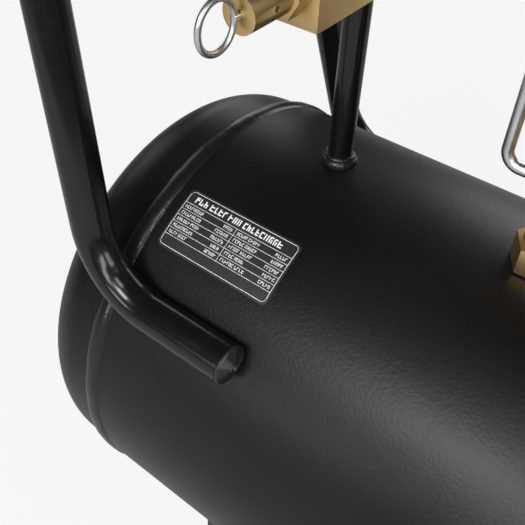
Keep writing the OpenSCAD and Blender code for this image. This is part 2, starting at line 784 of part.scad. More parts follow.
// Crankcase at the +X end, measured from the pump's middle
module crankcase_shape() {
    bell_start = stator_l / 2;
    difference() {
        union() {
            along_x([bell_start, 0, 0]) cylinder(r = bell_r, h = chamber_start - bell_start);
            translate([chamber_start - eps, -chamber_half, deck_floor])
                cube([chamber_end - chamber_start + eps, 2 * chamber_half, deck_top_wall - deck_floor]);
            rounded_box([cylinder_x, 0, deck_top_wall - 6], [2 * bore_r + 12, 2 * bore_r + 12, 6], 8);
            translate([chamber_start, -foot_bolt_y - 13, deck_floor])
                cube([2 * (foot_bolt_x - chamber_start), 2 * foot_bolt_y + 26, 8]);
            for (a = tie_angles) rotate([a, 0, 0])
                along_x([chamber_start - 12, 0, tie_r]) cylinder(r = 7, h = 12);
        }
        along_x([bell_start - 1, 0, 0])
            cylinder(r = bell_r - bell_wall, h = chamber_start - bell_start - 8);
        translate([chamber_start + 8, -chamber_half + 4, deck_floor + 4])
            cube([chamber_end - chamber_start - 12, 2 * chamber_half - 8,
                deck_top_wall - deck_floor - 10]);
        along_x([chamber_start - 10, 0, 0]) cylinder(r = 12, h = 30);
        along_x([chamber_start - 4, 0, 0]) cylinder(r = bearing_r, h = bearing_w);
        along_x([chamber_end - 10, 0, 0]) cylinder(r = shaft_r + 1.5, h = 20);
        translate([cylinder_x, 0, deck_top_wall - 7]) cylinder(r = bore_r + 0.5, h = 9);
        for (a = tie_angles) rotate([a, 0, 0])
            along_x([chamber_start - 20, 0, tie_r]) cylinder(r = 2.5, h = 30);
        for (y = [-1, 1]) translate([foot_bolt_x, y * foot_bolt_y, deck_floor - 1])
            cylinder(r = bolt_r + 0.2, h = 12);
    }
}

module at_crank() { translate([pump_mid, 0, crank_z]) children(); }
module both_ends() { children(); mirror([1, 0, 0]) children(); }

module right_crankcase() { color("#55575b") at_crank() crankcase_shape(); }
module left_crankcase() { color("#55575b") at_crank() mirror([1, 0, 0]) crankcase_shape(); }

module stator() {
    color("#7d8085") at_crank() along_x([-stator_l / 2, 0, 0]) difference() {
        tube(stator_r, rotor_r + 0.5, stator_l);
        for (a = [0 : 15 : 345]) rotate([0, 0, a]) translate([stator_r + 0.6, 0, -1])
            cylinder(r = 2, h = stator_l + 2);
    }
}

module windings() {
    color("#a8602c") at_crank() both_ends()
        along_x([stator_l / 2, 0, 0]) rotate_extrude() union() {
            translate([winding_in, 0]) square([winding_w, 10]);
            translate([winding_in + winding_w / 2, 10]) circle(r = winding_w / 2 - 1);
        }
}

module capacitor() {
    body_y = -14;
    body_z = stator_r + 22;
    color("#1a1a1c") at_crank() {
        difference() {
            union() {
                along_x([-34, body_y, body_z]) cylinder(r = 17, h = 68);
                along_x([-36, body_y, body_z]) cylinder(r = 11, h = 72);
                translate([-12, body_y - 14, stator_r - 6]) cube([24, 28, 14]);
            }
            along_x([-50, 0, 0]) cylinder(r = stator_r, h = 100);
        }
    }
}

module rotor() {
    color("#8c8f94") at_crank() along_x([-stator_l / 2, 0, 0]) tube(rotor_r, shaft_r, stator_l);
}

module shaft() {
    half_l = chamber_end + guard_l - 6;
    color("#c8c8cc") at_crank() along_x([-half_l, 0, 0]) cylinder(r = shaft_r, h = 2 * half_l);
}

module shaft_bearings() {
    color("#d0d2d6") at_crank() both_ends() along_x([chamber_start - 4, 0, 0]) difference() {
        tube(bearing_r, shaft_r + run, bearing_w);
        for (z = [-1, bearing_w - 0.6])
            translate([0, 0, z]) tube(bearing_r - 3, shaft_r + 3.5, 1.6);
    }
}

// Eccentric disc, offset by the throw; side is +1 for up and -1 for down
module eccentric(side) {
    along_x([cylinder_x - 5, 0, 0]) difference() {
        translate([-side * throw, 0, 0]) cylinder(r = ecc_r, h = 10);
        translate([0, 0, -1]) cylinder(r = shaft_r, h = 12);
    }
}

module eccentrics() {
    color("#9a9ca0") at_crank() {
        eccentric(-1);
        mirror([1, 0, 0]) eccentric(1);
    }
}

// Piston, rod and big end in one piece, at top dead centre
module piston_shape() {
    width = 12;
    top = sweep_r + 2 * throw;
    difference() {
        union() {
            translate([cylinder_x - width / 2, -sweep_r - yoke_wall, 0])
                cube([width, 2 * (sweep_r + yoke_wall), 2 * throw]);
            along_x([cylinder_x - width / 2, 0, 0]) cylinder(r = sweep_r + yoke_wall, h = width);
            along_x([cylinder_x - width / 2, 0, 2 * throw])
                cylinder(r = sweep_r + yoke_wall, h = width);
            translate([cylinder_x, 0, top + 1]) cylinder(r = 6, h = rod_top - top);
            translate([cylinder_x, 0, rod_top]) cylinder(r = bore_r - run, h = piston_h);
        }
        translate([cylinder_x - width, -sweep_r, 0]) cube([2 * width, 2 * sweep_r, 2 * throw]);
        along_x([cylinder_x - width, 0, 0]) cylinder(r = sweep_r, h = 2 * width);
        along_x([cylinder_x - width, 0, 2 * throw]) cylinder(r = sweep_r, h = 2 * width);
        translate([cylinder_x, 0, rod_top + piston_h - 3]) rotate_extrude()
            translate([bore_r - run, 0]) square([4, 2], center = true);
    }
}

module left_piston() { color("#b9bbc0") at_crank() mirror([1, 0, 0]) piston_shape(); }
module right_piston() {
    color("#b9bbc0") at_crank() translate([0, 0, -2 * throw]) piston_shape();
}

module cylinders() {
    color("#a4a7ab") at_crank() both_ends() translate([cylinder_x, 0, deck_top_wall])
        difference() {
            union() {
                cylinder(r = bore_r + 3, h = cylinder_top - deck_top_wall);
                for (z = [5 : 6 : cylinder_top - deck_top_wall - 5])
                    translate([0, 0, z]) cylinder(r = bore_r + 6.5, h = 2);
            }
            translate([0, 0, -1]) cylinder(r = bore_r, h = cylinder_top);
        }
}

module at_head_bolts() {
    for (sx = [-1, 1], sy = [-1, 1])
        translate([cylinder_x + sx * head_bolt_pitch / 2, sy * head_bolt_pitch / 2, 0]) children();
}

module valve_plates() {
    color("#c8c8cc") at_crank() both_ends() difference() {
        rounded_box([cylinder_x, 0, cylinder_top], [head_s, head_s, plate_h], 6);
        at_head_bolts() translate([0, 0, cylinder_top - 1]) cylinder(r = 3, h = plate_h + 2);
        for (y = [-12, 12]) translate([cylinder_x, y, cylinder_top - 1]) cylinder(r = 4, h = 9);
    }
}

// Finned head over the two ports, with its inlet to the front and its outlet to the back
module head_shape() {
    base_z = cylinder_top + plate_h;
    fin_z = base_z + cyl_head_block;
    fin_h = cyl_head_h - cyl_head_block;
    difference() {
        union() {
            rounded_box([cylinder_x, 0, base_z], [head_s, head_s, cyl_head_block], 6);
            for (k = [-4 : 4]) translate([cylinder_x - head_s / 2 + 3, k * 8 - 1.25, fin_z - 1])
                cube([head_s - 6, 2.5, fin_h + 1]);
            at_head_bolts() translate([0, 0, fin_z - 1]) cylinder(r = 7, h = fin_h + 1);
            along_minus_y([cylinder_x, -head_s / 2 + 6, port_z]) cylinder(r = 9, h = 8);
        }
        for (y = [-17, 17]) translate([cylinder_x, y, base_z - 1])
            translate([-20, -12, 0]) cube([40, 24, 15]);
        at_head_bolts() translate([0, 0, base_z - 1]) cylinder(r = 3, h = cyl_head_h + 2);
        along_y([cylinder_x, head_s / 2 - 6, port_z]) cylinder(r = pipe_r, h = 10);
        along_minus_x([cylinder_x - head_s / 2 + 6, bridge_y, port_z]) cylinder(r = pipe_r, h = 10);
    }
}

module cylinder_heads() { color("#8c8f94") at_crank() both_ends() head_shape(); }

module intake_filters() {
    color("#101012") at_crank() both_ends()
        along_minus_y([cylinder_x, -head_s / 2 - 2, port_z]) difference() {
            union() {
                cylinder(r = 10, h = 6);
                translate([0, 0, 6]) cylinder(r = 20, h = 20);
                translate([0, 0, 26]) cylinder(r1 = 20, r2 = 17, h = 4);
            }
            for (a = [0 : 30 : 330]) rotate([0, 0, a]) translate([20, 0, 9])
                cylinder(r = 2, h = 30);
        }
}

// Head screws through to the cylinders' flanges, and the four motor tie bolts
module pump_bolts() {
    fin_top = cylinder_top + plate_h + cyl_head_h;
    color("#b9bbc0") at_crank() {
        both_ends() at_head_bolts() translate([0, 0, cylinder_top]) {
            cylinder(r = 3, h = plate_h + cyl_head_h + 1);
            translate([0, 0, plate_h + cyl_head_h]) cylinder(r = 5.5, h = 5);
        }
        for (a = tie_angles) rotate([a, 0, 0]) {
            along_x([-chamber_start - 6, 0, tie_r]) cylinder(r = 2.5, h = 2 * chamber_start + 12);
            both_ends() along_x([chamber_start, 0, tie_r]) cylinder(r = 5, h = 4, $fn = 6);
        }
    }
}

// Seven-bladed fan at the +X end
module fan_shape() {
    along_x([fan_start, 0, 0]) difference() {
        union() {
            cylinder(r = 14, h = fan_w);
            for (a = [0 : 360 / 7 : 359]) rotate([0, 0, a]) translate([12, 0, fan_w / 2])
                rotate([35, 0, 0]) translate([0, -9, -1]) cube([fan_r - 14, 18, 2]);
        }
        translate([0, 0, -1]) cylinder(r = shaft_r, h = fan_w + 2);
        translate([0, 0, -10]) cylinder(r = 60, h = 10);
        translate([0, 0, fan_w]) cylinder(r = 60, h = 10);
    }
}

module cooling_fans() { color("#141416") at_crank() both_ends() fan_shape(); }

module fan_guards() {
    color("#101012") at_crank() both_ends() along_x([chamber_end, 0, 0]) difference() {
        cylinder(r = guard_r, h = guard_l);
        translate([0, 0, -1]) cylinder(r = guard_r - 2, h = guard_l - 1);
        for (a = [0 : 15 : 345]) rotate([0, 0, a]) translate([16, -1.5, guard_l - 5])
            cube([guard_r - 22, 3, 10]);
    }
}

// ---- Wheels and feet -----------------------------------------------------

// One lug plate, cut to the shell, with a hole for the axle
module axle_lug() {
    plate_low = wheel_r - 14;
    difference() {
        union() {
            translate([axle_abs_x - lug_w / 2, lug_y, wheel_r])
                cube([lug_w, sheet, tank_axis_z - wheel_r - 10]);
            along_y([axle_abs_x, lug_y, wheel_r]) cylinder(r = 14, h = sheet);
            translate([axle_abs_x - 14, lug_y, plate_low + 14]) cube([28, sheet, 10]);
        }
        tank_body(tank_r);
        along_y([axle_abs_x, lug_y - 1, wheel_r]) cylinder(r = axle_r, h = sheet + 2);
        for (s = [-1, 1]) translate([axle_abs_x + s * 34, lug_y - 1, wheel_r - 20])
            rotate([0, s * 22, 0]) translate([-12 + s * 6, 0, 0]) cube([24, sheet + 2, 44]);
    }
}

module axle_lugs() { color("#161618") both_sides() axle_lug(); }

module axle() {
    half_l = wheel_out + 4;
    color("#b9bbc0") along_y([axle_abs_x, -half_l, wheel_r]) cylinder(r = axle_r, h = 2 * half_l);
}

module axle_caps() {
    color("#c8c8cc") both_sides() {
        along_y([axle_abs_x, wheel_out + gap, wheel_r]) difference() {
            union() {
                cylinder(r = 12, h = 1.5);
                cylinder(r = 9, h = cap_h);
            }
            translate([0, 0, -1]) cylinder(r = axle_r, h = 5 - gap);
        }
        along_y([axle_abs_x, wheel_in - 4 - gap, wheel_r]) tube(9, axle_r, 4);
    }
}

module wheel_hub() {
    mid = wheel_w / 2;
    along_y([axle_abs_x, wheel_in, wheel_r]) difference() {
        union() {
            tube(hub_r, hub_r - 4, wheel_w - 4);
            translate([0, 0, mid - 3]) cylinder(r = hub_r - 1, h = 6);
            cylinder(r = 12, h = wheel_w);
            for (a = [0 : 60 : 300]) rotate([0, 0, a]) translate([8, -1.5, 2])
                cube([hub_r - 10, 3, wheel_w - 6]);
        }
        translate([0, 0, -1]) cylinder(r = axle_r + run, h = wheel_w + 2);
    }
}

module wheel_tyre() {
    along_y([axle_abs_x, wheel_in, wheel_r]) rotate_extrude() difference() {
        union() {
            translate([hub_r, 0]) square([wheel_r - hub_r - 6, wheel_w - 2]);
            translate([hub_r, 6]) square([wheel_r - hub_r, wheel_w - 14]);
            for (z = [6, wheel_w - 8]) translate([wheel_r - 6, z]) circle(r = 6);
        }
        for (z = [9 : 4.25 : wheel_w - 8]) translate([wheel_r, z]) circle(r = 1);
    }
}

module rear_hub() { color("#2c2d30") wheel_hub(); }
module rear_tyre() { color("#121212") wheel_tyre(); }
module front_hub() { color("#2c2d30") mirror([0, 1, 0]) wheel_hub(); }
module front_tyre() { color("#121212") mirror([0, 1, 0]) wheel_tyre(); }

module foot_bracket() {
    color("#161618") difference() {
        translate([foot_abs_x - bracket_w / 2, -foot_y, foot_h])
            cube([bracket_w, 2 * foot_y, tank_axis_z - foot_h - 10]);
        translate([foot_abs_x - bracket_w, -foot_y + sheet, foot_h + sheet])
            cube([2 * bracket_w, 2 * (foot_y - sheet), tank_axis_z]);
        tank_body(tank_r);
        both_sides() translate([foot_abs_x, foot_y - foot_in, 0])
            cylinder(r = bolt_r, h = tank_axis_z);
    }
}

module rubber_feet() {
    color("#0e0e0e") both_sides() translate([foot_abs_x, foot_y - foot_in, 0]) difference() {
        cylinder(r1 = foot_r, r2 = foot_r - 4, h = foot_h);
        translate([0, 0, foot_h - 12]) cylinder(r = bolt_r, h = 20);
        translate([0, 0, -1]) cylinder(r = 6, h = 5);
    }
}

// ---- Drain ---------------------------------------------------------------

module drain_valve() {
    color("#b08d4a") translate([drain_x, 0, tank_bottom]) difference() {
        union() {
            translate([0, 0, -2]) cylinder(r = 6, h = 8);
            translate([0, 0, -8]) cylinder(r = 11, h = 8, $fn = 6);
            translate([0, 0, -18]) cylinder(r = 7, h = 12);
        }
        translate([0, 0, -30]) cylinder(r = 3 + run, h = 24);
        translate([0, 0, -8]) cylinder(r = 1.5, h = 20);
    }
}

module drain_handle() {
    stem_z = tank_bottom - 18;
    color("#c9a254") translate([drain_x, 0, stem_z]) {
        translate([0, 0, -8]) cylinder(r = 3, h = 18);
        translate([0, 0, -9]) cylinder(r = 6, h = 8);
        for (s = [-1, 1]) along_y([s * 9, -1.5, -8]) cylinder(r = 6, h = 3);
    }
}

tank_shell();
left_tank_head();
right_tank_head();
weld_beads();
rating_label();
handle_tube();
handle_plugs();
handle_grip();
riser_pipe();
manifold();
switch_base();
switch_cover();
switch_knob();
cable_glands();
safety_valve();
safety_ring();
gauge_cases();
gauge_dials();
gauge_glasses();
tank_needle();
outlet_needle();
regulator();
regulator_knob();
coupler();
coupler_sleeve();
unloader_tube();
check_valve();
discharge_pipe();
pump_deck();
isolators();
mount_bolts();
left_crankcase();
right_crankcase();
stator();
windings();
capacitor();
rotor();
shaft();
shaft_bearings();
eccentrics();
left_piston();
right_piston();
cylinders();
valve_plates();
cylinder_heads();
intake_filters();
pump_bolts();
cooling_fans();
fan_guards();
axle_lugs();
axle();
axle_caps();
front_tyre();
front_hub();
rear_tyre();
rear_hub();
foot_bracket();
rubber_feet();
drain_valve();
drain_handle();
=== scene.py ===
"""Looks of a wheeled, oil-free, twin-cylinder air compressor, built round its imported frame.

Metres, +X along the tank from the handle end to the pump end, +Y to the back, +Z up.
"""

import json
import logging
import math
import random
from dataclasses import dataclass, field
from enum import Enum
from typing import Callable, Sequence

import bmesh
import bpy
from mathutils import Matrix, Vector


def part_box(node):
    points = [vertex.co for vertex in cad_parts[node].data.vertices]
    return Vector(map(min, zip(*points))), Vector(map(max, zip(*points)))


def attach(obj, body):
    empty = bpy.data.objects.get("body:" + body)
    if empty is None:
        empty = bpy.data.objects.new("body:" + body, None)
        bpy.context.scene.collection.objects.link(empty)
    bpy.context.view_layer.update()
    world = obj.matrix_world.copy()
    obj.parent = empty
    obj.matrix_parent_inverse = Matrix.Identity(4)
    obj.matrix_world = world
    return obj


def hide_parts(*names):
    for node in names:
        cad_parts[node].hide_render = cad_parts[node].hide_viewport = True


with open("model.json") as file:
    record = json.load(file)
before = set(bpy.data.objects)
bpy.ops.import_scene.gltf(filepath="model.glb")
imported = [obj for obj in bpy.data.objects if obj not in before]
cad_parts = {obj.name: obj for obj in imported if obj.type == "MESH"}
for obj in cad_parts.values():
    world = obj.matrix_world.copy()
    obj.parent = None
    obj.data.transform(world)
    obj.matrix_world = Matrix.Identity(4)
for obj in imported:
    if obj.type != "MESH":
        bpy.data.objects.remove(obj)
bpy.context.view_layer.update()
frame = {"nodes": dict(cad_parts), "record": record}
LOG = logging.getLogger("compressor")
MM = 0.001
TURN = 2 * math.pi
HANDLE_SEATS = (39.8, 160.0)
Mesh = bpy.types.Mesh
Socket = bpy.types.NodeSocket
Colour = tuple[float, float, float]
Profile = list[tuple[float, float]]
BODY_OF = {node: body for body, nodes in frame["record"]["behaviour"]["bodies"].items() for node in nodes}


class Facing(Enum):
    """Named directions in the frame."""

    RIGHT = (1, 0, 0)
    LEFT = (-1, 0, 0)
    BACK = (0, 1, 0)

    def turned(self, centre: Sequence[float]) -> Matrix:
        """Places a shape drawn up the Z axis at centre, pointing this way."""
        turn = Vector(self.value).to_track_quat("Z", "Y").to_matrix().to_4x4()
        return Matrix.Translation(Vector(centre)) @ turn


# ---- Node wiring ---------------------------------------------------------


def operators(operation: str) -> tuple[Callable, Callable]:
    """Methods for one of Python's operators on values.

    Args:
        operation: The Math node's operation.

    Returns:
        The method for the value first, and the one for the value last.
    """
    def first(value: "Value", other: "Value | float") -> "Value":
        """Adds the node with the value first."""
        return value.math(operation, value, other)

    def last(value: "Value", other: "Value | float") -> "Value":
        """Adds the node with the value last."""
        return value.math(operation, other, value)

    return first, last


class Value:
    """One number in a node tree; Python operators on it add Math nodes."""

    def __init__(self, tree: bpy.types.NodeTree, socket: Socket) -> None:
        """Wraps one output socket of a tree."""
        self.tree, self.socket = tree, socket

    def math(self, operation: str, *operands: "Value | float") -> "Value":
        """Adds one Math node.

        Args:
            operation: The Math node's operation.
            operands: The node's values in order.

        Returns:
            The node's result.
        """
        node = self.tree.nodes.new("ShaderNodeMath")
        node.operation = operation
        for slot, operand in zip(node.inputs, operands):
            if isinstance(operand, Value):
                self.tree.links.new(operand.socket, slot)
            else:
                slot.default_value = operand
        return Value(self.tree, node.outputs[0])

    __add__, __radd__ = operators("ADD")
    __sub__, __rsub__ = operators("SUBTRACT")
    __mul__, __rmul__ = operators("MULTIPLY")
    __truediv__, __rtruediv__ = operators("DIVIDE")
    __pow__, __rpow__ = operators("POWER")

    def sine(self) -> "Value":
        """Sine of an angle in radians."""
        return self.math("SINE", self)

    def cosine(self) -> "Value":
        """Cosine of an angle in radians."""
        return self.math("COSINE", self)

    def size(self) -> "Value":
        """Value without its sign."""
        return self.math("ABSOLUTE", self)

    def over(self, low: float, high: float) -> "Value":
        """Rises from 0 at low to 1 at high, and stays within them."""
        share = (self - low) / (high - low)
        return share.math("MINIMUM", share.math("MAXIMUM", share, 0.0), 1.0)


class Wiring:
    """Adds nodes to one tree."""

    def __init__(self, tree: bpy.types.NodeTree) -> None:
        """Starts on a tree whose old nodes are cleared."""
        self.tree = tree
        tree.nodes.clear()

    def node(self, kind: str, sockets: dict | None = None, **settings: str) -> bpy.types.Node:
        """Adds one node.

        Args:
            kind: The node's type name.
            sockets: Values or links of its inputs, by name or number.
            settings: Properties set before them.

        Returns:
            The new node.
        """
        made = self.tree.nodes.new(kind)
        for name, setting in settings.items():
            setattr(made, name, setting)
        for key, value in (sockets or {}).items():
            if isinstance(value, Value):
                value = value.socket
            if isinstance(value, Socket):
                self.tree.links.new(value, made.inputs[key])
            else:
                made.inputs[key].default_value = value
        return made

    def value(self, kind: str, sockets: dict | None = None, out: int | str = 0) -> Value:
        """Adds one node, and returns the number that comes out of it."""
        return Value(self.tree, self.node(kind, sockets).outputs[out])

    def vector(self, x: Value | float, y: Value | float, z: Value | float) -> Socket:
        """Adds the node that puts three numbers together."""
        return self.node("ShaderNodeCombineXYZ", {0: x, 1: y, 2: z}).outputs[0]


class Shading(Wiring):
    """Adds the nodes of one material."""

    def place(self, stretch: Sequence[float] = (1, 1, 1)) -> Socket:
        """Object coordinates, multiplied by stretch along each axis."""
        coordinates = self.node("ShaderNodeTexCoord").outputs["Object"]
        return self.node("ShaderNodeMapping", {"Vector": coordinates, "Scale": stretch}).outputs[0]

    def noise(self, scale: float, detail: float = 2.0, stretch: Sequence[float] = (1, 1, 1)) -> Value:
        """Soft noise; scale is features per metre."""
        sockets = {"Vector": self.place(stretch), "Scale": scale, "Detail": detail}
        return self.value("ShaderNodeTexNoise", sockets)

    def cells(self, scale: float) -> Value:
        """Distance to the nearest cell centre; scale is cells per metre."""
        return self.value("ShaderNodeTexVoronoi", {"Vector": self.place(), "Scale": scale})

    def tint(self, factor: Value, low: Colour, high: Colour) -> Socket:
        """Colour between low and high by factor."""
        sockets = {0: factor, 6: (*low, 1), 7: (*high, 1)}
        return self.node("ShaderNodeMix", sockets, data_type="RGBA").outputs[2]

    def bump(self, height: Value, depth: float) -> Socket:
        """Normal of a surface whose relief is height times depth, in metres."""
        sockets = {"Height": height, "Distance": depth, "Strength": 1.0}
        return self.node("ShaderNodeBump", sockets).outputs[0]


# ---- Finishes ------------------------------------------------------------


def shade(colour: Colour, share: float) -> Colour:
    """Colour made lighter or darker by a share."""
    return tuple(min(1.0, channel * share) for channel in colour)


@dataclass(frozen=True)
class Finish:
    """One finish; its material is made once and shared."""

    name: str
    colour: Colour
    roughness: float = 0.5

    metallic = 0.0
    specular = 0.5
    coat = 0.0

    def material(self) -> bpy.types.Material:
        """Returns this finish's material, made on the first call."""
        found = bpy.data.materials.get(self.name)
        if found:
            return found
        made = bpy.data.materials.new(self.name)
        made.use_nodes = True
        wiring = Shading(made.node_tree)
        fixed = {"Metallic": self.metallic, "Specular IOR Level": self.specular, "Coat Weight": self.coat}
        shader = wiring.node("ShaderNodeBsdfPrincipled", fixed)
        for name, socket in self.surface(wiring).items():
            socket = socket.socket if isinstance(socket, Value) else socket
            if isinstance(socket, Socket):
                made.node_tree.links.new(socket, shader.inputs[name])
            else:
                shader.inputs[name].default_value = socket
        wiring.node("ShaderNodeOutputMaterial", {"Surface": shader.outputs[0]})
        return made

    def surface(self, wiring: Shading) -> dict:
        """Returns what feeds each of the shader's sockets."""
        raise NotImplementedError

    def skin(self, wiring: Shading, tone: Value, shares: tuple[float, float], gloss: Value,
             relief: Value, depth: float) -> dict:
        """Sockets of a surface with a varied colour, roughness and relief.

        Args:
            wiring: The material's nodes.
            tone: 0 where the colour is the first share of the finish's own, 1 where it is the second.
            shares: Both shares.
            gloss: The roughness.
            relief: The height of the relief, times depth.
            depth: The relief's depth in metres.

        Returns:
            What feeds each socket.
        """
        low, high = (shade(self.colour, share) for share in shares)
        return {"Base Color": wiring.tint(tone, low, high), "Roughness": gloss,
                "Normal": wiring.bump(relief, depth)}


@dataclass(frozen=True)
class PowderCoat(Finish):
    """Baked powder paint with orange peel, fine grain and a little dust."""

    peel: float = 80e-6
    grain: float = 26e-6

    specular = 0.28

    def surface(self, wiring: Shading) -> dict:
        """Peel and grain in the relief, clouds in the gloss."""
        peel = wiring.noise(620, 1.5)
        grain = wiring.noise(2300, 2.0)
        clouds = wiring.noise(14, 3.0)
        specks = wiring.noise(900, 0.0).over(0.7, 0.78)
        height = peel * (self.peel / 1e-4) + grain * (self.grain / 1e-4)
        tone = clouds.over(0.3, 0.7) * 0.55 + specks * 0.45
        gloss = self.roughness - 0.04 + clouds * 0.07 + grain * 0.03
        return self.skin(wiring, tone, (0.8, 1.9), gloss, height, 1e-4)


@dataclass(frozen=True)
class WetPaint(Finish):
    """Smoother, glossier paint of tubes and welds."""

    specular = 0.27
    coat = 0.2

    def surface(self, wiring: Shading) -> dict:
        """Long soft waves in the relief, fine scuffs in the gloss."""
        waves = wiring.noise(240, 1.0)
        grain = wiring.noise(1500, 2.0)
        scuffs = wiring.noise(60, 4.0, (1, 1, 4)).over(0.55, 0.75)
        gloss = self.roughness + scuffs * 0.09 + grain * 0.04
        return self.skin(wiring, grain, (0.8, 1.5), gloss, waves * 0.5 + grain * 0.3, 2.2e-5)


class MetalWork(Enum):
    """How a bare metal surface was made."""

    CAST = "cast"
    TURNED_X = "turned along X"
    TURNED_Z = "turned along Z"
    PLATED = "plated"
    STACKED = "stacked sheets"


@dataclass(frozen=True)
class Metal(Finish):
    """Bare or plated metal."""

    work: MetalWork = MetalWork.PLATED
    metallic = 1.0

    def surface(self, wiring: Shading) -> dict:
        """Relief and gloss by how the metal was worked, with stains over both."""
        stains = wiring.noise(35, 4.0)
        if self.work is MetalWork.CAST:
            relief, depth = wiring.noise(850, 3.0) + wiring.cells(420) * 0.4, 9e-5
        elif self.work is MetalWork.TURNED_X:
            relief, depth = wiring.noise(40, 2.0, (60, 1, 1)), 2e-5
        elif self.work is MetalWork.TURNED_Z:
            relief, depth = wiring.noise(40, 2.0, (1, 1, 60)), 2e-5
        elif self.work is MetalWork.STACKED:
            sheets = wiring.value("ShaderNodeSeparateXYZ", {0: wiring.place()}) * (TURN / MM)
            relief, depth = sheets.sine() + wiring.noise(300, 2.0) * 0.5, 6e-5
        else:
            relief, depth = wiring.noise(500, 2.0), 1e-5
        gloss = self.roughness - 0.1 + (relief * 0.08 + stains * 0.16)
        return self.skin(wiring, stains.over(0.3, 0.75), (1, 0.66), gloss, relief, depth)


@dataclass(frozen=True)
class Moulded(Finish):
    """Injection-moulded plastic with a fine eroded texture."""

    texture: float = 3e-5

    def surface(self, wiring: Shading) -> dict:
        """Fine texture, with handling marks in the gloss."""
        texture = wiring.noise(1700, 2.0)
        marks = wiring.noise(45, 4.0)
        gloss = self.roughness - 0.05 + marks * 0.1 + texture * 0.05
        return self.skin(wiring, marks.over(0.35, 0.75), (0.9, 1.35), gloss, texture, self.texture)


@dataclass(frozen=True)
class Rubber(Finish):
    """Black rubber with bloom and dust."""

    specular = 0.3

    def surface(self, wiring: Shading) -> dict:
        """Chalky bloom in the colour, grain in the relief."""
        bloom = wiring.noise(70, 5.0).over(0.45, 0.8)
        grain = wiring.noise(1300, 3.0)
        return self.skin(wiring, bloom, (1, 2.6), self.roughness - 0.06 + bloom * 0.12, grain, 7e-5)


@dataclass(frozen=True)
class Foam(Finish):
    """Closed-cell foam of the grip."""

    specular = 0.25

    def surface(self, wiring: Shading) -> dict:
        """Burst cells in the relief; in the colour, painted shade: darker in the cell pits, lighter towards
        their rims, with random wear on top.
        """
        cells = wiring.cells(1100)
        wear = wiring.noise(90, 3.0)
        gloss = self.roughness - 0.05 + wear * 0.1
        # Painted shade: the colour follows the cell relief, darker in the pits and lighter towards the rims;
        # the wear noise adds random tone.
        return self.skin(wiring, cells + wear * 0.4, (1, 2.4), gloss, cells, 1.6e-4)


@dataclass(frozen=True)
class Film(Finish):
    """Printed film: satin surface with faint print grain."""

    coat = 0.15

    def surface(self, wiring: Shading) -> dict:
        """Ink grain in the colour, rolled waves in the relief."""
        ink = wiring.noise(2600, 2.0)
        waves = wiring.noise(110, 2.0)
        return self.skin(wiring, ink, (0.85, 1.12), self.roughness - 0.04 + waves * 0.08, waves, 5e-5)


@dataclass(frozen=True)
class WoundWire(Finish):
    """Enamelled copper wire laid in a bundle."""

    metallic = 0.7
    coat = 0.4

    def surface(self, wiring: Shading) -> dict:
        """Fine strands round the bundle in the relief, with painted shade that darkens the grooves between
        strands in the colour.
        """
        strands = wiring.noise(1500, 1.0, (1, 0.25, 0.25))
        lacquer = wiring.noise(120, 3.0)
        gloss = self.roughness + lacquer * 0.15
        # Painted shade: the colour darkens with the strand relief, in the grooves between strands.
        return self.skin(wiring, strands.over(0.35, 0.65), (0.35, 1), gloss, strands, 2.5e-4)


@dataclass(frozen=True)
class Glass(Finish):
    """Clear window with faint smears."""

    def surface(self, wiring: Shading) -> dict:
        """Clear, with the smears in the gloss."""
        smears = wiring.noise(160, 3.0)
        return {
            "Base Color": (*self.colour, 1),
            "Roughness": self.roughness + smears * 0.05,
            "Transmission Weight": 1.0,
            "IOR": 1.3,
            "Alpha": smears * 0.05 + 0.3,
        }


TANK_BLACK = PowderCoat("tank_powder_coat", (0.0034, 0.0034, 0.0037), 0.38)
HANDLE_BLACK = WetPaint("handle_paint_gloss", (0.0045, 0.0045, 0.0049), 0.2)
WELD_BLACK = WetPaint("weld_paint_gloss", (0.007, 0.007, 0.0075), 0.32)
FRAME_BLACK = PowderCoat("bracket_powder_coat", (0.009, 0.009, 0.0095), 0.38, 45e-6)
LABEL_FILM = Film("label_film", (0.017, 0.0165, 0.0165), 0.42)
LABEL_INK = Film("label_ink", (0.8, 0.8, 0.8), 0.5)
DIAL_FACE = Film("dial_face", (0.82, 0.82, 0.79), 0.4)
DIAL_INK = Film("dial_ink", (0.015, 0.015, 0.017), 0.5)
PLUG_PLASTIC = Moulded("plug_plastic_black", (0.009, 0.009, 0.0095), 0.36, 1.2e-5)
BLACK_PLASTIC = Moulded("moulded_black", (0.016, 0.016, 0.017), 0.44)
GREY_PLASTIC = Moulded("moulded_grey", (0.055, 0.057, 0.060), 0.5)
RED_PLASTIC = Moulded("moulded_red", (0.52, 0.030, 0.018), 0.38)
GRIP_FOAM = Foam("grip_foam_black", (0.014, 0.014, 0.015), 0.85)
SOFT_RUBBER = Rubber("mount_rubber", (0.014, 0.014, 0.014), 0.72)
TYRE_RUBBER = Rubber("tyre_rubber_black", (0.019, 0.019, 0.018), 0.8)
BRASS = Metal("brass_fittings", (0.78, 0.55, 0.25), 0.36, MetalWork.TURNED_Z)
ZINC = Metal("zinc_plated_steel", (0.66, 0.67, 0.66), 0.34, MetalWork.PLATED)
STEEL = Metal("ground_steel", (0.56, 0.57, 0.58), 0.28, MetalWork.TURNED_X)
CAST_ALLOY = Metal("cast_alloy", (0.45, 0.46, 0.47), 0.56, MetalWork.CAST)
TURNED_ALLOY = Metal("turned_alloy", (0.68, 0.69, 0.70), 0.32, MetalWork.TURNED_Z)
LAMINATIONS = Metal("stator_laminations", (0.42, 0.42, 0.43), 0.46, MetalWork.STACKED)
COPPER_PIPE = Metal("copper_pipe", (0.80, 0.40, 0.24), 0.33, MetalWork.PLATED)
ALLOY_PIPE = Metal("alloy_pipe", (0.72, 0.73, 0.74), 0.32, MetalWork.PLATED)
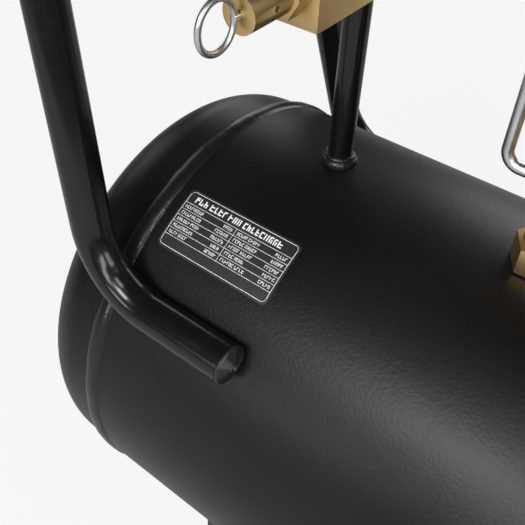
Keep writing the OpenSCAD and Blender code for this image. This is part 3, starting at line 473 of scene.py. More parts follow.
WIRE = WoundWire("winding_wire", (0.62, 0.22, 0.08), 0.35)
WINDOW = Glass("gauge_window", (0.96, 0.98, 0.98), 0.03)


# ---- Meshes --------------------------------------------------------------


def smoothed(mesh: Mesh, sharp: float = 32.0) -> Mesh:
    """Merges doubles, turns the faces outwards and smooths all but sharp edges.

    Args:
        mesh: The mesh, changed in place.
        sharp: Edges over this angle in degrees stay sharp.

    Returns:
        The same mesh.
    """
    cells = bmesh.new()
    cells.from_mesh(mesh)
    bmesh.ops.remove_doubles(cells, verts=cells.verts, dist=1e-6)
    bmesh.ops.recalc_face_normals(cells, faces=cells.faces)
    cells.to_mesh(mesh)
    cells.free()
    mesh.shade_smooth()
    mesh.set_sharp_from_angle(angle=math.radians(sharp))
    return mesh


def mesh_of(name: str, points: Sequence, faces: Sequence, place: Matrix | None = None) -> Mesh:
    """Makes one smoothed mesh from points and faces, moved to its place."""
    mesh = bpy.data.meshes.new(name)
    mesh.from_pydata([tuple(point) for point in points], [], faces)
    if place is not None:
        mesh.transform(place)
    return smoothed(mesh)


def lathe(name: str, profile: Profile, place: Matrix, sides: int = 96) -> Mesh:
    """Turns a profile about the Z axis.

    Args:
        name: The mesh's name.
        profile: (radius, height) pairs; from pole to pole, or a closed loop without poles.
        place: Where the turned shape goes.
        sides: Steps round the axis.

    Returns:
        The closed mesh.
    """
    points, rings = [], []
    for radius, height in profile:
        first, count = len(points), 1 if radius < 1e-7 else sides
        rings.append([first + step for step in range(count)])
        points += [(radius * math.cos(TURN * k / sides), radius * math.sin(TURN * k / sides), height)
                   for k in range(count)]
    pairs = list(zip(rings, rings[1:]))
    if len(rings[0]) > 1:
        pairs.append((rings[-1], rings[0]))
    faces = []
    for low, high in pairs:
        for k in range(sides):
            corners = [low[k % len(low)], low[(k + 1) % len(low)]]
            corners += [high[(k + 1) % len(high)], high[k % len(high)]]
            faces.append(list(dict.fromkeys(corners)))
    return mesh_of(name, points, faces, place)


def arc(centre: tuple[float, float], radius: float, start: float, end: float, steps: int) -> Profile:
    """Points of an arc from start to end, in degrees from the first axis."""
    angles = [math.radians(start + (end - start) * k / steps) for k in range(steps + 1)]
    return [(centre[0] + radius * math.cos(a), centre[1] + radius * math.sin(a)) for a in angles]


def block(name: str, size: Sequence[float], place: Matrix, bevel: float) -> Mesh:
    """Makes a block with rounded edges, centred on its place."""
    cells = bmesh.new()
    bmesh.ops.create_cube(cells, size=1)
    bmesh.ops.scale(cells, vec=Vector(size), verts=cells.verts)
    bmesh.ops.bevel(cells, geom=cells.edges[:], offset=bevel, segments=2, affect="EDGES", profile=0.7)
    mesh = bpy.data.meshes.new(name)
    cells.to_mesh(mesh)
    cells.free()
    mesh.transform(place)
    return smoothed(mesh)


def joined(name: str, meshes: Sequence[Mesh]) -> Mesh:
    """Puts several meshes into one."""
    cells = bmesh.new()
    for mesh in meshes:
        cells.from_mesh(mesh)
    made = bpy.data.meshes.new(name)
    cells.to_mesh(made)
    cells.free()
    return smoothed(made)


def rounded_route(corners: Sequence[Vector], bends: Sequence[float], step: float) -> list[Vector]:
    """Follows straight runs through corners, each rounded by its bend.

    Args:
        corners: The route's ends and corners.
        bends: The radius at each corner between the ends.
        step: Largest distance between points.

    Returns:
        The route's points.
    """
    route = [corners[0]]
    for before, corner, after, bend in zip(corners, corners[1:], corners[2:], bends):
        come, go = (corner - before).normalized(), (after - corner).normalized()
        turn = come.angle(go)
        inner = (go - come * come.dot(go)).normalized()
        start = corner - come * bend * math.tan(turn / 2)
        centre = start + inner * bend
        count = max(6, math.ceil(bend * turn / step))
        for k in range(count + 1):
            angle = turn * k / count
            route.append(centre + bend * (math.sin(angle) * come - math.cos(angle) * inner))
    route.append(corners[-1])
    filled = [route[0]]
    for point in route[1:]:
        gap = (point - filled[-1]).length
        count = max(1, math.ceil(gap / (4 * step)))
        start = filled[-1]
        filled += [start.lerp(point, k / count) for k in range(1, count + 1)]
    return filled


def swept(name: str, route: Sequence[Vector], radii: Sequence[float], sides: int,
          relief: Callable[[int, Vector], float] | None = None) -> Mesh:
    """Sweeps a round section along a route.

    Args:
        name: The mesh's name.
        route: The centre line's points.
        radii: Outer and inner radius.
        sides: Steps round the section.
        relief: Extra outer radius at a route point, in a direction from the centre line.

    Returns:
        The closed mesh.
    """
    last = len(route) - 1
    side = Vector((0, 0, 1))
    points, faces = [], []
    for i, centre in enumerate(route):
        ahead = (route[min(i + 1, last)] - route[max(i - 1, 0)]).normalized()
        side = (side - ahead * side.dot(ahead)).normalized()
        other = ahead.cross(side)
        for wall, radius in enumerate(radii):
            for k in range(sides):
                out = math.cos(TURN * k / sides) * side + math.sin(TURN * k / sides) * other
                extra = relief(i, out) if relief and wall == 0 else 0
                points.append(centre + out * (radius + extra))

    def at(i: int, wall: int, k: int) -> int:
        """Number of the point at a ring, wall and side."""
        return (2 * i + wall) * sides + k % sides

    for k in range(sides):
        for i in range(last):
            for wall in (0, 1):
                faces.append([at(i, wall, k), at(i + 1, wall, k), at(i + 1, wall, k + 1), at(i, wall, k + 1)])
        for i in (0, last):
            faces.append([at(i, 0, k), at(i, 0, k + 1), at(i, 1, k + 1), at(i, 1, k)])
    return mesh_of(name, points, faces)


# ---- Geometry Nodes ------------------------------------------------------


class Pattern(Wiring):
    """A Geometry Nodes tree with named inputs, which makes plain meshes."""

    def __init__(self, name: str, inputs: dict[str, float]) -> None:
        """Makes the tree.

        Args:
            name: The tree's name.
            inputs: Starting value of each named input; a whole number makes an input of whole numbers.
        """
        super().__init__(bpy.data.node_groups.new(name, "GeometryNodeTree"))
        face = self.tree.interface
        face.new_socket("Geometry", in_out="OUTPUT", socket_type="NodeSocketGeometry")
        face.new_socket("Geometry", in_out="INPUT", socket_type="NodeSocketGeometry")
        self.names = {}
        for label, start in inputs.items():
            kind = "NodeSocketInt" if isinstance(start, int) else "NodeSocketFloat"
            socket = face.new_socket(label, in_out="INPUT", socket_type=kind)
            socket.default_value = start
            self.names[label] = socket.identifier
        finish = face.new_socket("Finish", in_out="INPUT", socket_type="NodeSocketMaterial")
        self.names["Finish"] = finish.identifier
        self.source = self.node("NodeGroupInput")

    def given(self, label: str) -> Value:
        """The named input, as a number."""
        return Value(self.tree, self.source.outputs[label])

    def close(self, geometry: Socket) -> None:
        """Ends the tree in Realize Instances and Set Material."""
        real = self.node("GeometryNodeRealizeInstances", {"Geometry": geometry})
        sockets = {"Geometry": real.outputs[0], "Material": self.source.outputs["Finish"]}
        painted = self.node("GeometryNodeSetMaterial", sockets)
        self.node("NodeGroupOutput", {0: painted.outputs[0]})

    def make(self, name: str, finish: Finish, place: Matrix, sizes: dict[str, float],
             unit: Mesh | None = None) -> Mesh:
        """Runs the tree.

        Args:
            name: The new mesh's name.
            finish: What it is made of.
            place: Where it goes, from the tree's own axes.
            sizes: Values of the named inputs.
            unit: The mesh that the tree repeats.

        Returns:
            A plain mesh.
        """
        host = bpy.data.objects.new(name, unit or bpy.data.meshes.new(name))
        bpy.context.scene.collection.objects.link(host)
        modifier = host.modifiers.new("pattern", "NODES")
        modifier.node_group = self.tree
        for label, size in {**sizes, "Finish": finish.material()}.items():
            modifier[self.names[label]] = size
        graph = bpy.context.evaluated_depsgraph_get()
        mesh = bpy.data.meshes.new_from_object(host.evaluated_get(graph), depsgraph=graph)
        host.modifiers.remove(modifier)
        bpy.data.objects.remove(host)
        mesh.name = name
        mesh.transform(place)
        return smoothed(mesh, 40)


class RingPattern(Pattern):
    """Copies of a unit round the Z axis, each turned with its place."""

    def __init__(self) -> None:
        """Makes the tree with its inputs Count, Radius, Start and Span."""
        super().__init__("ring of copies", {"Count": 12, "Radius": 0.01, "Start": 0.0, "Span": TURN})
        number = self.value("GeometryNodeInputIndex")
        angle = self.given("Start") + number * self.given("Span") / self.given("Count")
        radius = self.given("Radius")
        spot = self.vector(radius * angle.cosine(), radius * angle.sine(), 0.0)
        points = self.node("GeometryNodePoints", {"Count": self.given("Count"), "Position": spot})
        copies = self.node("GeometryNodeInstanceOnPoints", {
            "Points": points.outputs[0], "Instance": self.source.outputs["Geometry"],
            "Rotation": self.vector(0.0, 0.0, angle)})
        self.close(copies.outputs[0])


class GridPattern(Pattern):
    """Copies of a unit on a flat grid centred on the Z axis."""

    def __init__(self) -> None:
        """Makes the tree with its inputs Columns, Rows, Width and Depth."""
        super().__init__("grid of copies", {"Columns": 2, "Rows": 2, "Width": 0.01, "Depth": 0.01})
        grid = self.node("GeometryNodeMeshGrid", {
            "Size X": self.given("Width"), "Size Y": self.given("Depth"),
            "Vertices X": self.given("Columns"), "Vertices Y": self.given("Rows")})
        copies = self.node("GeometryNodeInstanceOnPoints", {
            "Points": grid.outputs[0], "Instance": self.source.outputs["Geometry"]})
        self.close(copies.outputs[0])


class BeadPattern(Pattern):
    """A ring of weld bead with overlapping ripples."""

    def __init__(self) -> None:
        """Makes the tree with its named sizes; Saddle is the radius of the surface under the ring."""
        super().__init__("weld bead", {
            "Radius": 0.1, "Half Width": 0.002, "Height": 0.001, "Ripples": 300, "Ripple Depth": 1e-4,
            "Wander": 0.2, "Saddle": 1e3, "Offset": 0.0, "Steps": 1200, "Sides": 14})
        grid = self.node("GeometryNodeMeshGrid", {
            "Size X": TURN, "Size Y": TURN,
            "Vertices X": self.given("Steps"), "Vertices Y": self.given("Sides")})
        position = self.node("GeometryNodeInputPosition").outputs[0]
        flat = self.node("ShaderNodeSeparateXYZ", {0: position})
        along, round_it = Value(self.tree, flat.outputs[0]), Value(self.tree, flat.outputs[1])
        spot = self.vector(along.cosine() * 9, along.sine() * 9, round_it.cosine() * 0.4)
        wander = self.value("ShaderNodeTexNoise", {"Vector": spot, "Scale": 1.0, "Detail": 2.0}) - 0.5
        phase = along * self.given("Ripples") / 2 + round_it.cosine().size() * 1.3 + wander * 5
        ripple = (phase.sine().size() - 0.6) * self.given("Ripple Depth")
        height = (self.given("Height") + ripple) * round_it.sine()
        reach = self.given("Radius") + height * (1 + wander * self.given("Wander"))
        width = self.given("Half Width") * round_it.cosine() * (1 + wander * self.given("Wander"))
        across = reach * along.sine()
        drop = (across + self.given("Offset")) ** 2.0 / (self.given("Saddle") * 2)
        place = self.vector(reach * along.cosine(), across, width - drop)
        moved = self.node("GeometryNodeSetPosition", {"Geometry": grid.outputs[0], "Position": place})
        seam = {"Geometry": moved.outputs[0], "Distance": 2e-6}
        merged = self.node("GeometryNodeMergeByDistance", seam)
        self.close(merged.outputs[0])


# ---- Shared steps of every sub-assembly ----------------------------------


@dataclass
class Patterns:
    """The three patterns that sub-assemblies share."""

    ring: RingPattern
    grid: GridPattern
    bead: BeadPattern


@dataclass(frozen=True)
class Dress:
    """How one carried-over node is finished."""

    slot: str
    finish: Finish
    edge: float = 0.35 * MM


@dataclass
class SubAssembly:
    """Adds pieces to the scene and reports them."""

    patterns: Patterns
    made: list[str] = field(default_factory=list, init=False)

    title = "sub-assembly"
    dressed = {}
    flat_angle = 0.5
    edge_angle = 38
    smooth_angle = 34

    def add(self, name: str, mesh: Mesh, dress: Dress, body: str = "frame",
            nodes: Sequence[str] = ()) -> bpy.types.Object:
        """Adds one piece.

        Args:
            name: The piece's name.
            mesh: Its mesh, already in place.
            dress: Its finish and material slot.
            body: The body that it rides on.
            nodes: The frame's nodes that it stands for.

        Returns:
            The new object.
        """
        piece = bpy.data.objects.new(name, mesh)
        bpy.context.scene.collection.objects.link(piece)
        mesh.materials.clear()
        mesh.materials.append(dress.finish.material())
        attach(piece, body)
        if nodes:
            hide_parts(*nodes)
        self.made.append(name)
        return piece

    def carry(self, node: str, dress: Dress) -> None:
        """Finishes a copy of a node: merged, edges broken, smoothed, in its material."""
        mesh = frame["nodes"][node].data.copy()
        cells = bmesh.new()
        cells.from_mesh(mesh)
        bmesh.ops.remove_doubles(cells, verts=cells.verts, dist=2e-6)
        flat, least = math.radians(self.flat_angle), math.radians(self.edge_angle)
        bmesh.ops.dissolve_limit(cells, angle_limit=flat, verts=cells.verts, edges=cells.edges)
        if dress.edge > 0:
            sharp = [edge for edge in cells.edges
                     if len(edge.link_faces) == 2 and edge.calc_face_angle(0) > least]
            bmesh.ops.bevel(cells, geom=sharp, offset=dress.edge, segments=2, affect="EDGES",
                            profile=0.6, clamp_overlap=True)
        bmesh.ops.triangulate(cells, faces=[face for face in cells.faces if len(face.verts) > 4])
        cells.to_mesh(mesh)
        cells.free()
        mesh.shade_smooth()
        mesh.set_sharp_from_angle(angle=math.radians(self.smooth_angle))
        self.add(f"{node}_finished", mesh, dress, BODY_OF[node], [node])

    def build(self) -> None:
        """Builds this sub-assembly's own pieces."""

    def dress(self) -> None:
        """Finishes the nodes that are carried over."""
        for node, dress in self.dressed.items():
            self.carry(node, dress)

    def run(self) -> None:
        """Builds, dresses and reports."""
        self.build()
        self.dress()
        for name in self.made:
            LOG.info("%s: %s", self.title, name)


# ---- Tank ----------------------------------------------------------------


@dataclass
class Barrel:
    """The tank's axis and sizes, read from the frame."""

    start: float
    end: float
    radius: float
    axis: float

    @classmethod
    def read(cls) -> "Barrel":
        """Measures the shell's node."""
        low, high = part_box("tank_shell")
        return cls(low.x, high.x, (high.z - low.z) / 2, (high.z + low.z) / 2)

    def on_shell(self, along: float, angle: float, lift: float = 0.0) -> Vector:
        """Point on the shell.

        Args:
            along: Distance from the left weld.
            angle: Degrees up from the front horizontal.
            lift: Height over the shell.

        Returns:
            The point in the frame.
        """
        turn, reach = math.radians(angle), self.radius + lift
        return Vector((self.start + along, -reach * math.cos(turn), self.axis + reach * math.sin(turn)))


@dataclass
class Tank(SubAssembly):
    """Shell, two domed heads and the weld beads."""

    barrel: Barrel
    paint: Dress = Dress("tank_paint", TANK_BLACK)
    bead_paint: Dress = Dress("tank_paint", WELD_BLACK)
    wall: float = 2.5 * MM
    flange: float = 16.4 * MM
    dome: float = 50.7 * MM
    knuckle: float = 32 * MM
    head_step: float = 1.6 * MM
    bead_half: float = 5.0 * MM
    bead_height: float = 2.3 * MM
    bead_depth: float = 1.0 * MM
    bead_ripples: int = 360
    riser: tuple[float, float] = (56.3 * MM, 9.4 * MM)
    fillets: tuple[float, float] = (40 * MM, 64 * MM)
    fillet_length: float = 16 * MM
    fillet_radius: float = 3.1 * MM
    seats: tuple[float, float] = HANDLE_SEATS
    under: float = 3.2

    title = "tank"

    def head_profile(self) -> Profile:
        """Closed half section of a head, from the outer pole round to the inner one."""
        radius = self.barrel.radius - self.head_step
        side = radius - self.knuckle
        crown = (self.dome ** 2 + radius ** 2 - 2 * radius * self.knuckle) / (2 * (self.dome - self.knuckle))
        lean = math.degrees(math.atan2(crown - self.dome, side))
        middle = (0.0, self.flange + self.dome - crown)
        outer, inner = [], []
        for inset, points in ((0.0, outer), (self.wall, inner)):
            points += arc(middle, crown - inset, 90, lean, 40)
            points += arc((side, self.flange), self.knuckle - inset, lean, 0, 24)[1:]
            points.append((radius - inset, 0.0))
            points[0] = (0.0, points[0][1])
        return outer + inner[::-1]

    def build(self) -> None:
        """Makes the shell, the heads and every bead."""
        tank, sides = self.barrel, 288
        length = tank.end - tank.start
        inner = tank.radius - self.wall
        steps = [length * k / 24 for k in range(25)]
        shell = [(tank.radius, step) for step in steps] + [(inner, step) for step in reversed(steps)]
        place = Facing.RIGHT.turned((tank.start, 0, tank.axis))
        body = lathe("shell", shell, place, sides)
        self.add("tank_shell_painted", body, self.paint, "frame", ["tank_shell"])
        for side, facing, x in (("left", Facing.LEFT, tank.start), ("right", Facing.RIGHT, tank.end)):
            mesh = lathe(f"{side} head", self.head_profile(), facing.turned((x, 0, tank.axis)), sides)
            self.add(f"{side}_head_painted", mesh, self.paint, "frame", [f"{side}_tank_head"])
        beads = joined("beads", self.beads())
        self.add("weld_beads_rippled", beads, self.bead_paint, "frame", ["weld_beads"])

    def beads(self) -> list[Mesh]:
        """Girth beads, the two tiers round the riser and the fillets under the handle."""
        tank, finish, bead = self.barrel, self.bead_paint.finish, self.patterns.bead
        girth = {"Radius": tank.radius - self.bead_depth, "Half Width": self.bead_half,
                 "Height": self.bead_height, "Ripples": self.bead_ripples, "Ripple Depth": 0.07 * MM,
                 "Wander": 0.3, "Steps": 1441, "Sides": 17, "Saddle": 1e3, "Offset": 0.0}
        made = [bead.make("girth bead", finish, facing.turned((x, 0, tank.axis)), girth)
                for facing, x in ((Facing.LEFT, tank.start), (Facing.RIGHT, tank.end))]
        along, back = self.riser
        top = tank.axis + tank.radius
        for radius, rise, half, height, ripples in ((6.2, 0.2, 3.2, 3.0, 14), (6.1, 2.9, 1.7, 1.6, 10)):
            sizes = {"Radius": radius * MM, "Half Width": half * MM, "Height": height * MM,
                     "Ripples": ripples, "Ripple Depth": 0.05 * MM, "Wander": 0.12, "Steps": 161,
                     "Sides": 17, "Saddle": tank.radius, "Offset": back}
            place = Matrix.Translation((tank.start + along, back, top + rise * MM))
            made.append(bead.make("riser bead", finish, place, sizes))
        for angle in (self.seats[0] - self.under, self.seats[1] + self.under):
            for along in self.fillets:
                made.append(self.fillet(along, angle))
        return made

    def fillet(self, along: float, angle: float) -> Mesh:
        """One short rippled bead in the corner below a handle leg."""
        tank, count, sides = self.barrel, 17, 16
        points, faces = [], []
        for i in range(count):
            share = i / (count - 1)
            bulge = math.sqrt(max(0.0, 1 - (2 * share - 1) ** 4)) * (1 + 0.07 * math.sin(i * 2.4))
            centre = tank.on_shell(along + (share - 0.5) * self.fillet_length, angle, 1.6 * MM)
            for k in range(sides):
                turn = TURN * k / sides
                out = Vector((0, math.cos(turn), math.sin(turn)))
                points.append(centre + out * self.fillet_radius * max(bulge, 0.02))
        for i in range(count - 1):
            for k in range(sides):
                far = (k + 1) % sides
                faces.append([i * sides + k, i * sides + far, (i + 1) * sides + far, (i + 1) * sides + k])
        faces += [list(range(sides)), list(range((count - 1) * sides, count * sides))]
        return mesh_of("fillet", points, faces)


@dataclass
class RatingLabel(SubAssembly):
    """Dark data plate with a ruled frame and rows of generic marks."""

    barrel: Barrel
    film: Dress = Dress("label", LABEL_FILM)
    ink: Dress = Dress("label", LABEL_INK)
    start: float = 10 * MM
    length: float = 65 * MM
    angles: tuple[float, float] = (52.6, 67.8)
    thickness: float = 0.4 * MM
    corner: float = 2.6 * MM
    inset: float = 1.1 * MM
    rule: float = 0.24 * MM
    rows: int = 5
    heading: float = 6.5 * MM
    heading_groups: tuple[int, ...] = (3, 4, 3, 9)
    heading_tall: float = 3.2 * MM
    heading_pen: float = 0.66 * MM
    pitch: float = 3.55 * MM
    row_tall: float = 1.6 * MM
    row_pen: float = 0.27 * MM

    title = "label"

    def __post_init__(self) -> None:
        """Works out the label's height, and starts a seeded source for the marks."""
        self.height = math.radians(self.angles[1] - self.angles[0]) * self.barrel.radius
        self.draw = random.Random(11)

    def spot(self, across: float, up: float, lift: float) -> Vector:
        """Point on the label, from its lower left corner as it is read."""
        angle = self.angles[0] + math.degrees(up / self.barrel.radius)
        return self.barrel.on_shell(self.start + across, angle, lift)

    def slab(self, outline: Callable[[float], tuple[float, float]], low: float, high: float,
             lifts: tuple[float, float], rows: int, columns: int) -> Mesh:
        """Closed thin slab that follows the shell.

        Args:
            outline: Left and right edge at a height on the label.
            low: Lower edge.
            high: Upper edge.
            lifts: Bottom and top of the slab over the shell.
            rows: Steps up the label.
            columns: Steps along it.

        Returns:
            The slab's mesh.
        """
        points, faces = [], []
        for lift in lifts:
            for i in range(rows + 1):
                up = low + (high - low) * (1 - math.cos(math.pi * i / rows)) / 2
                left, right = outline(up)
                steps = [left + (right - left) * k / columns for k in range(columns + 1)]
                points += [self.spot(across, up, lift) for across in steps]
        wide, layer = columns + 1, (rows + 1) * (columns + 1)
        for i in range(rows):
            for k in range(columns):
                corners = [i * wide + k, i * wide + k + 1, (i + 1) * wide + k + 1, (i + 1) * wide + k]
                faces += [corners, [layer + corner for corner in reversed(corners)]]
        rim = [k for k in range(columns)] + [i * wide + columns for i in range(rows)]
        rim += [rows * wide + k for k in range(columns, 0, -1)] + [i * wide for i in range(rows, 0, -1)]
        for here, there in zip(rim, rim[1:] + rim[:1]):
            faces.append([there, here, layer + here, layer + there])
        return mesh_of("slab", points, faces)

    def bar(self, left: float, right: float, low: float, high: float) -> Mesh:
        """One printed bar."""
        lifts = (self.thickness - 0.05 * MM, self.thickness + 0.03 * MM)
        rows = max(1, round((high - low) / (2 * MM)))
        return self.slab(lambda up: (left, right), low, high, lifts, rows, 1)

    def glyph(self, left: float, low: float, wide: float, tall: float, pen: float) -> list[Mesh]:
        """One made-up sign of two or three strokes, which is no letter."""
        right, high, middle = left + wide, low + tall, low + tall * self.draw.uniform(0.4, 0.6)
        strokes = {
            "stem": (left, left + pen, low, high),
            "far stem": (right - pen, right, low, high if self.draw.random() < 0.5 else middle),
            "foot": (left, right, low, low + pen),
            "bar": (left, right, middle, middle + pen),
            "cap": (left, right, high - pen, high),
        }
        chosen = ["stem"] + self.draw.sample(["far stem", "foot", "bar", "cap"], self.draw.choice((1, 2, 2)))
        return [self.bar(*strokes[name]) for name in chosen]

    def words(self, left: float, low: float, tall: float, counts: Sequence[int], pen: float) -> list[Mesh]:
        """Row of made-up signs, in groups of the given counts."""
        made, at = [], left
        for count in counts:
            for _ in range(count):
                wide = tall * self.draw.uniform(0.5, 0.72)
                made += self.glyph(at, low, wide, tall, pen)
                at += wide + tall * 0.2
            at += tall * 0.32
        return made

    def frame_rule(self) -> list[Mesh]:
        """Ruled frame with rounded corners, as short bars."""
        edge, radius, line = self.inset, self.corner - self.inset * 0.4, self.rule
        right, high = self.length - edge, self.height - edge
        made = [self.bar(edge + radius, right - radius, low, low + line) for low in (edge, high - line)]
        made += [self.bar(left, left + line, edge + radius, high - radius) for left in (edge, right - line)]
        for cx, cy, start in ((right - radius, high - radius, 0), (edge + radius, high - radius, 90),
                              (edge + radius, edge + radius, 180), (right - radius, edge + radius, 270)):
            for k in range(6):
                angle = math.radians(start + 15 * k + 7.5)
                x, y = cx + (radius - line / 2) * math.cos(angle), cy + (radius - line / 2) * math.sin(angle)
                half = line * 0.62
                made.append(self.bar(x - half, x + half, y - half, y + half))
        return made

    def build(self) -> None:
        """Makes the film and its print."""
        def outline(up: float) -> tuple[float, float]:
            """Left and right edge of the film, rounded at its corners."""
            near = min(up, self.height - up)
            back = self.corner - math.sqrt(max(0.0, self.corner ** 2 - max(0.0, self.corner - near) ** 2))
            return back, self.length - back

        film = self.slab(outline, 0.0, self.height, (0.0, self.thickness), 40, 24)
        self.add("rating_label_film", film, self.film, "frame", ["rating_label"])
        self.add("rating_label_print", joined("print", self.print_rows()), self.ink)

    def print_rows(self) -> list[Mesh]:
        """Frame, bold heading, ruled rows with a name and a value in two columns, and the divider."""
        left, right, thin = self.inset, self.length - self.inset, self.rule * 0.8
        top, middle = self.height - self.inset - self.heading, self.length / 2
        tall, pen = self.row_tall, self.row_pen
        made = self.frame_rule()
        made += self.words(left + 4.2 * MM, top + 1.5 * MM, self.heading_tall, self.heading_groups,
                           self.heading_pen)
        for k in range(self.rows + 1):
            level = top - k * self.pitch
            made.append(self.bar(left, right, level, level + thin))
            if k < self.rows:
                low = level - self.pitch + 1.05 * MM
                for start, end in ((left, middle), (middle, right)):
                    names = self.draw.choice(((5, 5), (6, 4), (4, 4), (9,)))
                    value = self.draw.choice((4, 5, 6))
                    made += self.words(start + 1.6 * MM, low, tall, names, pen)
                    made += self.words(end - 1.3 * MM - value * tall * 0.82, low, tall, (value,), pen)
        made.append(self.bar(middle, middle + thin, top - self.rows * self.pitch, top))
        return made


# ---- Handle --------------------------------------------------------------


@dataclass
class Handle(SubAssembly):
    """Bent tube, its ribbed end plugs and the foam grip."""

    barrel: Barrel
    paint: Dress = Dress("handle_paint", HANDLE_BLACK)
    plug: Dress = Dress("plug_plastic", PLUG_PLASTIC)
    foam: Dress = Dress("foam", GRIP_FOAM)
    radius: float = 9.3 * MM
    wall: float = 1.5 * MM
    seats: tuple[float, float] = HANDLE_SEATS
    end: float = 76 * MM
    bend: float = 38.5 * MM
    grip_bend: float = 30 * MM
    lean: float = 11.5
    close: float = 7.0
    crossbar_rise: float = 325 * MM
    wrinkle: float = 0.05 * MM
    wrinkle_pitch: float = 7 * MM
    flat: float = 0.35 * MM
    plug_stem: float = 11.5 * MM
    plug_ribs: int = 7
    rib_pitch: float = 1.05 * MM
    rib_rise: float = 0.34 * MM
    soft: float = 3.2 * MM
    groove: float = 0.45 * MM
    grooves: int = 14

    title = "handle"

    def __post_init__(self) -> None:
        """Works out the corners of both legs from the tank."""
        self.lows = [self.barrel.on_shell(0, seat, self.radius) for seat in self.seats]
        front = self.lows[0]
        rise = self.barrel.axis + self.crossbar_rise - front.z
        slope = Vector((-math.tan(math.radians(self.lean)), math.tan(math.radians(self.close)), 1))
        high = front + slope * rise
        self.highs = [high, Vector((high.x, -high.y, high.z))]

    def corners(self) -> list[Vector]:
        """Front end, its bends, then the rear bends and the rear end."""
        (front, rear), (front_high, rear_high) = self.lows, self.highs
        out = Vector((self.end, 0, 0))
        return [front + out, front, front_high, rear_high, rear, rear + out]

    def folds(self) -> list[tuple[Vector, Vector, Vector]]:
        """Middle of each lower bend's inner side, the way to its inside and the way along it."""
        found = []
        for low, high in zip(self.lows, self.highs):
            come, go = Vector((-1, 0, 0)), (high - low).normalized()
            inner, turn = (go - come).normalized(), come.angle(go)
            reach = self.bend / math.cos(turn / 2) - self.bend
            found.append((low + inner * reach, inner, (come + go).normalized()))
        return found

    def build(self) -> None:
        """Makes the tube, the plugs and the grip."""
        bends = (self.bend, self.grip_bend, self.grip_bend, self.bend)
        route = rounded_route(self.corners(), bends, 1.1 * MM)
        folds = self.folds()

        def relief(i: int, out: Vector) -> float:
            """Flattened outside and creased inside of the lower bends."""
            total = 0.0
            for middle, inner, ahead in folds:
                away = route[i] - middle
                if away.length < 3 * self.bend:
                    near = math.exp(-(away.length / (0.5 * self.bend)) ** 2)
                    crease = math.sin(TURN * away.dot(ahead) / self.wrinkle_pitch)
                    total += self.wrinkle * max(0.0, out.dot(inner)) ** 3 * near * crease
                    total -= self.flat * max(0.0, -out.dot(inner)) ** 2 * near
            return total

        tube = swept("tube", route, (self.radius, self.radius - self.wall), 64, relief)
        self.add("handle_tube_painted", tube, self.paint, "frame", ["handle_tube"])
        meshes = [lathe("plug", self.plug_profile(), Facing.RIGHT.turned((low.x + self.end, low.y, low.z)))
                  for low in self.lows]
        self.add("handle_plugs_ribbed", joined("plugs", meshes), self.plug, "frame", ["handle_plugs"])
        low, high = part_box("handle_grip")
        place = Facing.BACK.turned((self.highs[0].x, low.y, self.highs[0].z))
        mesh = lathe("grip", self.grip_profile((high.z - low.z) / 2, high.y - low.y), place, 96)
        self.add("handle_grip_foam", mesh, self.foam, "frame", ["handle_grip"])

    def plug_profile(self) -> Profile:
        """Closed section of a plug: stem, rim, concentric ribs and a centre dimple."""
        rim, inner = self.radius, self.radius - self.wall - 0.1 * MM
        stem = -self.plug_stem
        profile = [(0.0, stem), (inner - 1 * MM, stem), (inner, stem + 1 * MM), (inner, -0.05 * MM),
                   (rim - 0.3 * MM, 0.0), (rim, 0.3 * MM), (rim, 1.2 * MM), (rim - 0.35 * MM, 1.6 * MM)]
        for k in range(self.plug_ribs):
            outer = rim - 0.6 * MM - k * self.rib_pitch
            level = 1.75 * MM + k * self.rib_rise
            profile += [(outer, level - 0.28 * MM), (outer - 0.16 * MM, level + 0.12 * MM),
                        (outer - 0.36 * MM, level + 0.26 * MM), (outer - 0.62 * MM, level + 0.22 * MM),
                        (outer - 0.82 * MM, level - 0.02 * MM)]
        return profile + [(0.85 * MM, 2.9 * MM), (0.5 * MM, 2.4 * MM), (0.0, 2.3 * MM)]

    def grip_profile(self, outer: float, length: float) -> Profile:
        """Closed section of the grip: soft ends and shallow finger grooves."""
        count, soft, pitch = 120, self.soft, length / self.grooves
        skin = []
        for k in range(count + 1):
            along = length * k / count
            near = min(along, length - along)
            end = 1 - math.sqrt(max(0.0, 1 - (1 - min(near / soft, 1)) ** 2))
            groove = self.groove * (0.5 - 0.5 * math.cos(TURN * along / pitch)) if near > soft else 0.0
            skin.append((outer - soft * 0.9 * end - groove, along))
        return skin + [(self.radius + 0.02 * MM, length), (self.radius + 0.02 * MM, 0.0)]


# ---- Riser and controls --------------------------------------------------


